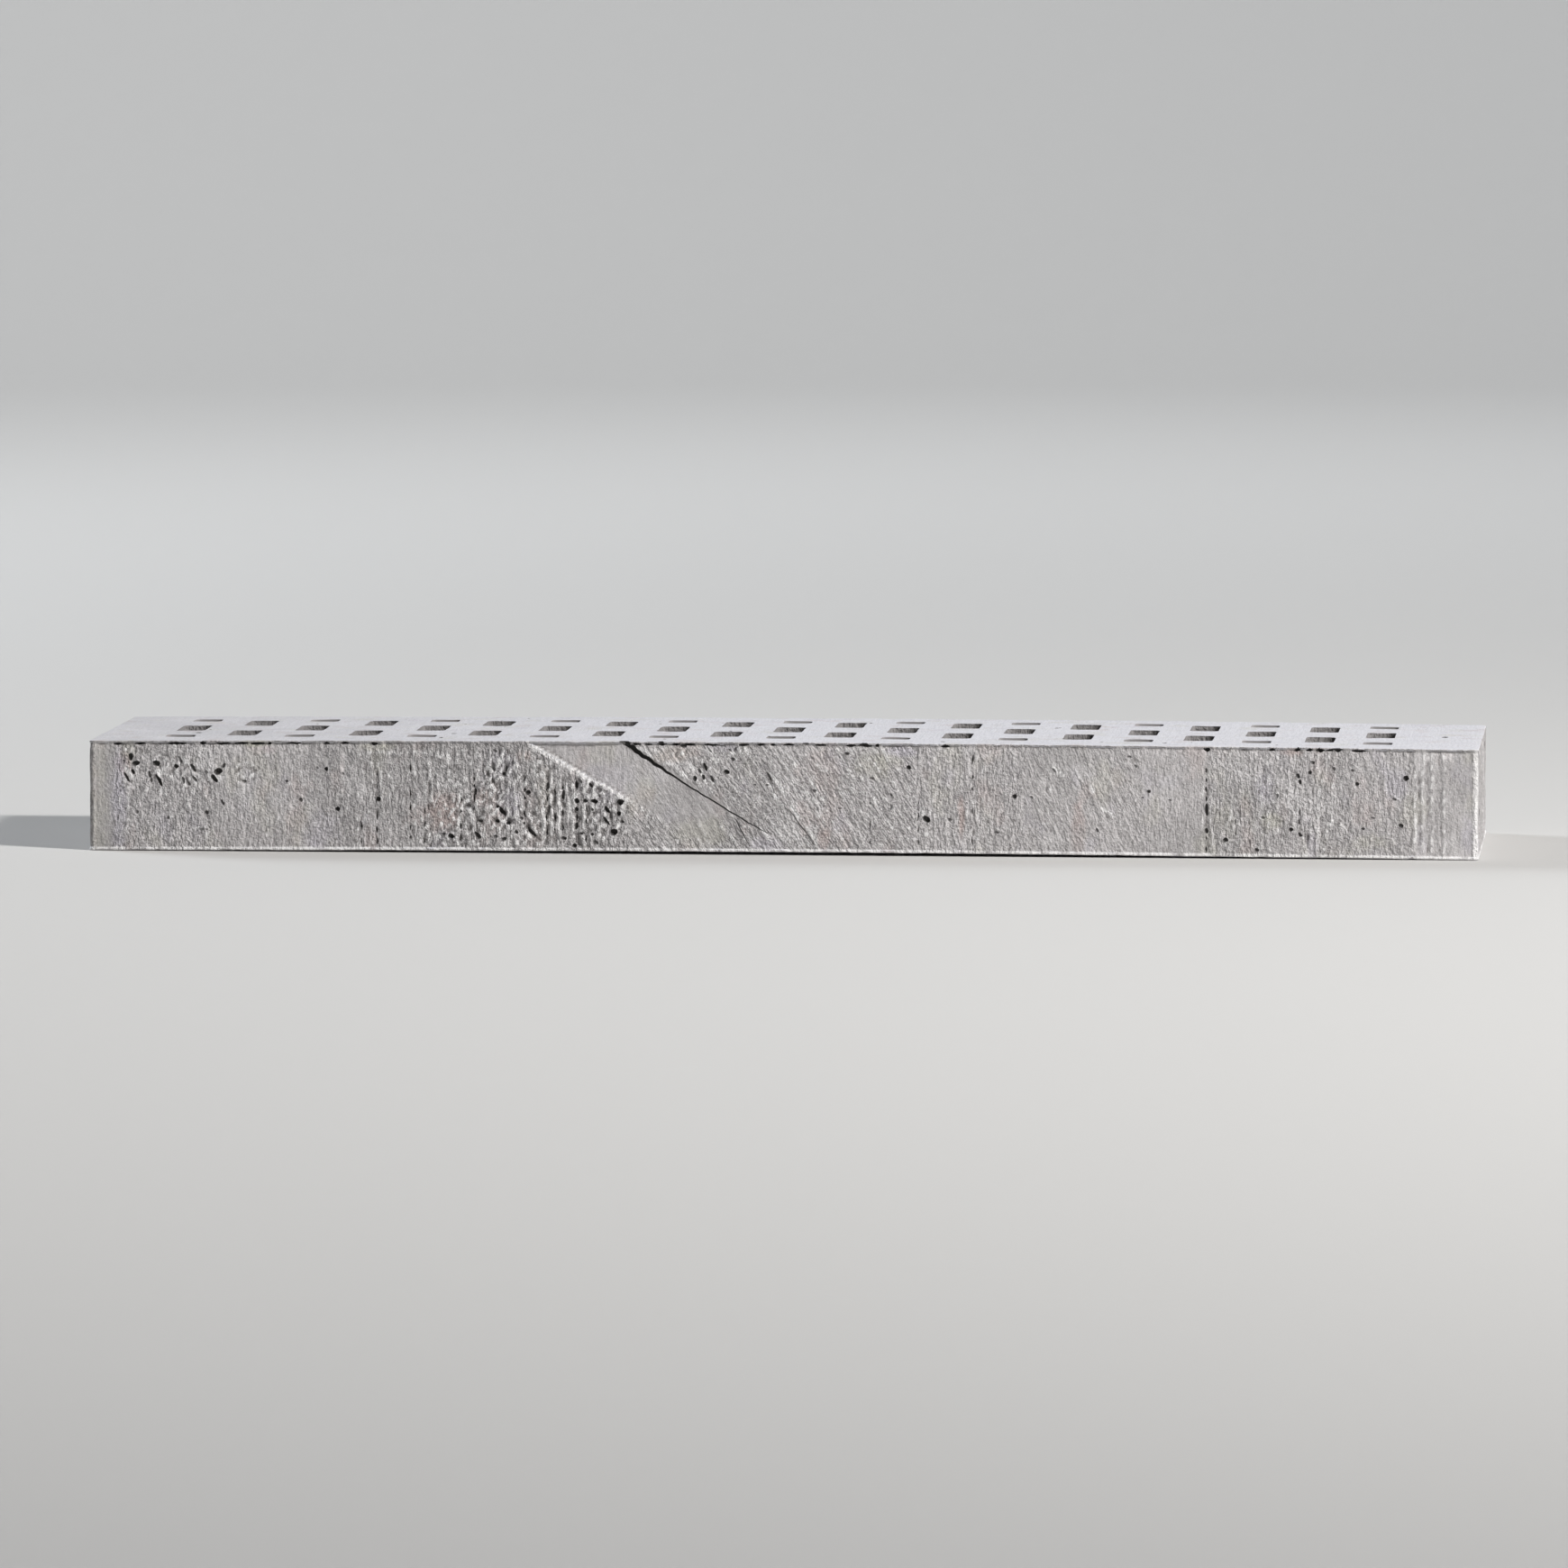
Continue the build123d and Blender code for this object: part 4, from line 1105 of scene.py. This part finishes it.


# Painted shade under the upper arris, painted highlights on the lower arris, on the right
# corners, at the flecks and on the scrape's wall, and the strength of the grain
def faceLightAndGrain(name, u, seen, z, own):
    marks, half, seeds = faceMarks[name], faceReach(name)[0], paintMarks["seeds"]
    grime = overhang(u, name) * within(block["clayHeight"] - own, 0.5, 1.5, 0.4)
    rubbed = within(own, 0.1, 1.25, 0.2) * smooth(layers(u / 3, u * 0, seeds["lowerArris"], 3), -1.1, 0.1)
    if name == "front":
        # Painted shade on the rounded left corner of the front, and the strip beside it painted darker
        grime = np.maximum(grime, smooth(-u, half - 1.7, half - 0.7))
        grime = np.maximum(grime, 0.22 * within(u, -247, -236, 1))
        # Painted highlight along the right corner of the front, uneven along its height
        wearAndHighlight = 0.55 + 0.3 * layers(z / 4, z * 0, seeds[name], 3)
        rubbed = np.maximum(rubbed, wearAndHighlight * smooth(u, half - 2.1, half - 1.3))
    # The same painted highlight on the right face beside that corner
    if name == "right":
        wearAndHighlight = 0.5 + 0.4 * layers(z / 4, z * 0, seeds[name], 3)
        rubbed = np.maximum(rubbed, wearAndHighlight * smooth(-u, half - 2.8, half - 1.8))
    # Painted highlights at the flecks
    for place, high, halfAlong, halfAcross, turn in marks.get("flecks", []):
        along, across = turned(seen - place, z - high, turn)
        fleck = smooth(1.25 - np.hypot(along / halfAlong, across / halfAcross), 0.0, 0.5)
        rubbed = np.maximum(rubbed, 1.1 * fleck)
    grained = 0
    for start, end, _, _, _, fine in marks["grains"]:
        grained = grained + fine * within(seen, start, end, 2)
    for start, end, reachAcross, _, leftWall, _ in marks.get("scrapes", []):
        along, across, reach = alongAndAcross(seen, z, start, end)
        band = within(along / reach, -0.2, 1.2, 0.1) * within(across, 0.5, reachAcross, 0.8)
        grained = grained * (1 - band) + 0.45 * band
        # Painted highlight on the scrape's left wall
        edge = within(across, 0.05, 0.75 * leftWall, 0.2) * smooth(-along / reach, -1.15, -0.2)
        rubbed = np.maximum(rubbed, 0.5 * edge)
    return grime, rubbed, grained


def paintSurface(mesh):
    x, y, z = fetch(mesh.vertices, "co", 3).reshape(-1, 3).T / mm
    own, count = z - bowRise(x), len(x)
    store(mesh, "tint", hueShares(x, y, z))
    kinds = fetch(mesh.attributes["surfaceKind"].data, "value")
    cut = (np.abs(fetch(mesh.polygons, "normal", 3)[2::3]) > 0.6) & (kinds == 0)
    store(mesh, "wireCut", cut.astype(float), "FACE")

    # Coordinates across and along the way each face was drawn, for its grain
    corners = fetch(mesh.loops, "vertex_index", kind=np.int32)
    counts = fetch(mesh.polygons, "loop_total", kind=np.int32)
    owner = np.repeat(np.arange(len(counts)), counts)
    middleX, middleY = [np.bincount(owner, value[corners]) / counts for value in (x, y)]
    at, stretch = np.stack([x, y, z], axis=-1)[corners], paintMarks["streakStretch"]
    drawn = at * (1, 1, stretch)
    drawn[cut[owner]] = at[cut[owner]] * (1, paintMarks["wireStretch"], 1)

    # Painted light and grain strength, and how far each place lies above or below what is around it
    wear, carved = np.zeros((count, 3)), np.zeros(count)
    facing = np.argmax([onFace(name, x, y)[1] - faceReach(name)[1] for name in sideNames], axis=0)
    for number, name in enumerate(sideNames):
        (u, out), (run, off) = onFace(name, x, y), onFace(name, middleX, middleY)
        seen, run = u - slant(u, name), run - slant(run, name)
        apart = faceReach(name)[1]
        skin = (off > apart - paintMarks["skin"]) & ~cut & (kinds != 1)
        for start, end, lean, *_ in faceMarks[name]["grains"]:
            zone = (skin & (run >= start) & (run < end))[owner]
            across, along = turned(u[corners][zone], at[zone, 2], lean)
            drawn[zone] = np.stack([across, out[corners][zone], stretch * along], axis=-1)
        near = smooth(out, apart - 2.6, apart - 1.8)
        for index, amount in enumerate(faceLightAndGrain(name, u, seen, z, own)):
            wear[:, index] = np.maximum(wear[:, index], near * amount)
        side = (facing == number) & (near > 0) & (own > 2.2) & (own < block["clayHeight"] - 2.2)
        step = paintMarks["carvedStep"] * max(1, block["stepAlong"][name] / 1.4)
        level = [
            faceRelief(u[side] + du, z[side] + dz, own[side], block["clayHeight"] - own[side], name)
            for du, dz in ((0, 0), (-step, 0), (step, 0), (0, -1.3 * step), (0, 1.3 * step))
        ]
        carved[side] = level[0] - sum(level[1:]) / 4

    # Inside a perforation the first value is painted shadow, growing from its left wall to its
    # right one near the mouth, and the last one tells the long perforations
    inside = np.zeros(count, dtype=bool)
    inside[corners[kinds[owner] == 1]] = True
    nearest = np.abs(x[:, None] - columnPlaces[None, :]).argmin(axis=1)
    short = (nearest % 2 == 0) & (np.abs(y) > outerRow - 6)
    share = smooth(x - columnPlaces[nearest], -5.0, 5.0) * smooth(own, 31, 38) * np.where(short, 0.5, 1.0)
    wear[inside, 0] = share[inside]
    wear[inside, 2] = np.where(short, 0.0, 1.0)[inside]
    store(mesh, "wear", wear)
    store(mesh, "carved", carved)
    store(mesh, "drawn", drawn * mm, "CORNER")


paintSurface(mesh)

# Fired clay. Colours are scene-linear, and a scale is how many cells of noise a metre holds
finish = {
    "grey": (0.452, 0.434, 0.438),
    "pale": (0.56, 0.545, 0.55),
    "dark": (0.365, 0.352, 0.354),
    "red": (0.42, 0.345, 0.33),
    "yellow": (0.452, 0.44, 0.38),
    "lilac": (0.445, 0.425, 0.48),
    "bed": (0.567, 0.565, 0.598),
    "grime": (0.17, 0.16, 0.155),
    "rubbed": (0.74, 0.73, 0.73),
    # dark specks of the clay, also used as painted shade in sunken places
    "speck": (0.14, 0.13, 0.125),
    # painted shade of the perforation walls
    "hole": (0.23, 0.22, 0.22),
    # painted shade of the air holes and cracks, and painted shadow at the perforations' right ends
    "pit": (0.05, 0.047, 0.045),
    "grainTone": 0.24,
    "gritTone": 0.1,
    "gritBump": 0.2,
    "dragBump": 0.2,
    "roughness": 0.88,
    "scales": {
        "clouds": 22, "patches": 60, "streaks": 900, "mottle": 850, "grit": 1600, "specks": 800, "soot": 260,
    },
    "hueScales": {"red": 98, "yellow": 78, "lilac": 88},
}


def clayFinish():
    tree = firedClay.node_tree
    wire, scales = Wire(tree), finish["scales"]
    shader = tree.nodes["Principled BSDF"]
    place = wire.node("ShaderNodeTexCoord", (), (), "Object")

    def scaled(x, y, z):
        return wire.node("ShaderNodeMapping", (), {"Vector": place, "Scale": (x, y, z)})

    def grain(scale, detail=2.0, rough=0.55, stretch=(1, 1, 1)):
        values = {"Vector": scaled(*stretch), "Scale": scale, "Detail": detail, "Roughness": rough}
        return wire.node("ShaderNodeTexNoise", (), values, "Fac")

    def blend(share, first, second):
        kept = [c if isinstance(c, Wire) else (*finish[c], 1) for c in (first, second)]
        values = {0: share, 6: kept[0], 7: kept[1]}
        return wire.node("ShaderNodeMix", {"data_type": "RGBA"}, values, 2)

    def attribute(name, output="Fac"):
        return wire.node("ShaderNodeAttribute", {"attribute_name": name}, (), output)

    kind, cut = attribute("surfaceKind"), attribute("wireCut")
    tint, wear = attribute("tint", "Vector"), attribute("wear", "Vector")
    drawn, carved = attribute("drawn", "Vector"), attribute("carved")
    hole = kind.math("COMPARE", 1.0, 0.4)
    # how much painted shade the air holes and cracks get
    pit = kind.math("GREATER_THAN", 1.5) * kind.ramp(2.0, 3.0, 0.5, 0.95)
    red, yellow, lilac = [tint.part(axis) for axis in "XYZ"]
    grime, rubbed, grained = [wear.part(axis) for axis in "XYZ"]
    grime, grained = grime * (1 - cut), grained * (1 - cut)

    # Clouds of lighter and darker clay, the paler beds, painted lighter from the left end to the middle as
    # painted light, and the hues
    colour = blend(grain(scales["clouds"], 3.0).ramp(0.36, 0.66), "dark", "grey")
    colour = blend(grain(scales["patches"], 3.0).ramp(0.5, 0.78) * 0.8, colour, "pale")
    colour = blend(cut * place.part("X").ramp(-0.24, 0.0, 0.5, 0.95), colour, "bed")
    for (name, scale), share in zip(finish["hueScales"].items(), (red, yellow, lilac)):
        spread = grain(scale, 2.0, 0.5, (1, 1, 0.6)).ramp(0.56, 0.72) * 0.3
        colour = blend((spread + share * 0.8).math("MINIMUM", 0.8), colour, name)

    # Streaks and grit, as light and dark tones
    values = {"Vector": drawn, "Scale": scales["streaks"], "Detail": 2.0, "Roughness": 0.6}
    streak = wire.node("ShaderNodeTexNoise", (), values, "Fac")
    mottle, grit = grain(scales["mottle"], 2.0, 0.65), grain(scales["grit"], 2.0, 0.6)
    strong = (grained * 0.4 + 0.15).math("MINIMUM", 0.9)
    tone = streak.ramp(0.53, 0.64) - streak.ramp(0.47, 0.36)
    tone = tone + mottle.ramp(0.53, 0.62) - mottle.ramp(0.47, 0.38)
    gritty = (grit.ramp(0.52, 0.64) - grit.ramp(0.48, 0.36)) * finish["gritTone"]
    colour = colour.times(tone * strong * finish["grainTone"] + gritty + 1)

    # Specks, painted highlight and shade on raised and sunken places, painted shade, painted highlights, and
    # painted shade in the perforations, air holes and cracks
    speck = grain(scales["specks"], 1.0).ramp(0.67, 0.72)
    colour = blend(speck * (grained * 0.35 + 0.15), colour, "speck")
    # Painted highlight on raised places and painted shade in sunken ones
    colour = blend(carved.ramp(0.02, 0.18) * 0.8, colour, "rubbed")
    colour = blend(carved.ramp(-0.04, -0.26) * 0.65, colour, "speck")
    colour = blend(grime.math("MINIMUM", 1.0) * 0.8, colour, "grime")
    colour = blend(rubbed * 0.85, colour, "rubbed")
    # The perforation walls are painted darker as painted shade, and near the mouths their right ends get
    # painted shadow
    colour = blend(hole * (grained * 0.25 + 0.6), colour, "hole")
    uneven = grain(scales["soot"], 2.0).ramp(0.35, 0.65, 0.5, 0.95)
    paintedHoleShadow = hole * grime.ramp(0.68, 0.92) * uneven
    colour = blend(paintedHoleShadow, colour, "pit")
    colour = blend(pit, colour, "pit")
    tree.links.new(colour.socket, shader.inputs["Base Color"])

    fine = grain(2300, 2.0, 0.6) * 0.3 + grain(950, 2.0, 0.6).ramp(0.35, 0.65)
    strength = grained + cut * 0.35
    height = (fine * finish["gritBump"] + streak.ramp(0.35, 0.65) * finish["dragBump"]) * strength
    values = {"Height": height * mm, "Distance": 1.0, "Strength": 1.0}
    bump = wire.node("ShaderNodeBump", (), values, "Normal")
    tree.links.new(bump.socket, shader.inputs["Normal"])
    rough = grit.ramp(0.3, 0.7, finish["roughness"] - 0.05, finish["roughness"] + 0.07)
    tree.links.new(rough.socket, shader.inputs["Roughness"])
    shader.inputs["Specular IOR Level"].default_value = 0.3


clayFinish()
print("finish done")

# Camera at the place that the photograph's perspective gives, turned to the brick
cameraPlace = {
    "right": 0.337,
    "distance": 3.92,  # from the front face
    "above": 0.304,  # over the upper bed
    "lens": 258.2,
    "aim": (0.0014, 0.0252),  # along the front face, over the floor
}
camera = placed("camera", bpy.data.cameras.new("camera"))
bpy.context.scene.camera = camera
front = -width / 2 * mm
camera.location = (
    cameraPlace["right"],
    front - cameraPlace["distance"],
    block["clayHeight"] * mm + cameraPlace["above"],
)
aim = Vector((cameraPlace["aim"][0], front, cameraPlace["aim"][1])) - camera.location
camera.rotation_euler = aim.to_track_quat("-Z", "Y").to_euler()
camera.data.lens = cameraPlace["lens"]
camera.data.clip_end = 100

# Soft key from the right that rakes along the front, a cool fill from behind and a light
# on the wall behind and on the one to the left
cool = (0.94, 0.97, 1.0)
lamps = {
    "keyLight": {
        "at": (2.44, -1.41, 1.93), "to": (0, 0, 0.03), "size": 0.42, "spread": 108, "power": 50.5,
        "colour": (1.0, 0.985, 0.965),
    },
    "fillLight": {
        "at": (-2.9, 1.35, 1.4), "to": (0, 0, 0.03), "size": 1.2, "spread": 110, "power": 30,
        "colour": (0.9, 0.95, 1.0),
    },
    "wallLight": {
        "at": (-0.3, 2.4, 2.6), "to": (-0.3, 5.0, 0.3), "size": 2.2, "spread": 180, "power": 62,
        "colour": cool,
    },
    "sideLight": {
        "at": (-2.5, 0.2, 2.8), "to": (-5.0, 0.4, 0.8), "size": 2.2, "spread": 180, "power": 58,
        "colour": cool,
    },
}
for name, lamp in lamps.items():
    light = bpy.data.lights.new(name, "AREA")
    light.size = lamp["size"]
    light.spread = math.radians(lamp["spread"])
    light.energy = lamp["power"]
    light.color = lamp["colour"]
    made = placed(name, light)
    made.location = lamp["at"]
    made.rotation_euler = (Vector(lamp["to"]) - Vector(lamp["at"])).to_track_quat("-Z", "Y").to_euler()

# A pale round cove that the camera stands in
cove = {
    "flat": 3.6,
    "bend": 1.4,  # radius between the floor and the wall
    "top": 5.0,
    "bendPoints": 14,
    "sides": 96,
    "colour": (0.55, 0.543, 0.532, 1),
    "roughness": 0.9,
}
flat, bend, sides = cove["flat"], cove["bend"], cove["sides"]
profile = [(0.001, 0.0), (flat, 0.0)]
for turn in np.linspace(0.1, math.pi / 2, cove["bendPoints"]):
    profile.append((flat + bend * math.sin(turn), bend - bend * math.cos(turn)))
profile.append((flat + bend, cove["top"]))
turns = np.linspace(0, 2 * math.pi, sides, endpoint=False)
points = [(r * math.sin(a), r * math.cos(a), z) for r, z in profile for a in turns]
quads = []
for row in range(0, (len(profile) - 1) * sides, sides):
    for k in range(sides):
        after = (k + 1) % sides
        quads.append((row + after, row + sides + after, row + sides + k, row + k))
floorMesh = bpy.data.meshes.new("floor")
floorMesh.from_pydata(points, [], quads)
floorMesh.shade_smooth()
floor = placed("floor", floorMesh)
paper = bpy.data.materials.new("paleFloor")
paper.use_nodes = True
paperShader = paper.node_tree.nodes["Principled BSDF"]
paperShader.inputs["Base Color"].default_value = cove["colour"]
paperShader.inputs["Roughness"].default_value = cove["roughness"]
floorMesh.materials.append(paper)

world = bpy.data.worlds.new("studio")
bpy.context.scene.world = world
world.use_nodes = True
sky = world.node_tree.nodes["Background"]
sky.inputs["Color"].default_value = (0.9, 0.93, 1.0, 1)
sky.inputs["Strength"].default_value = 0.2
bpy.context.scene.view_settings.view_transform = "Standard"
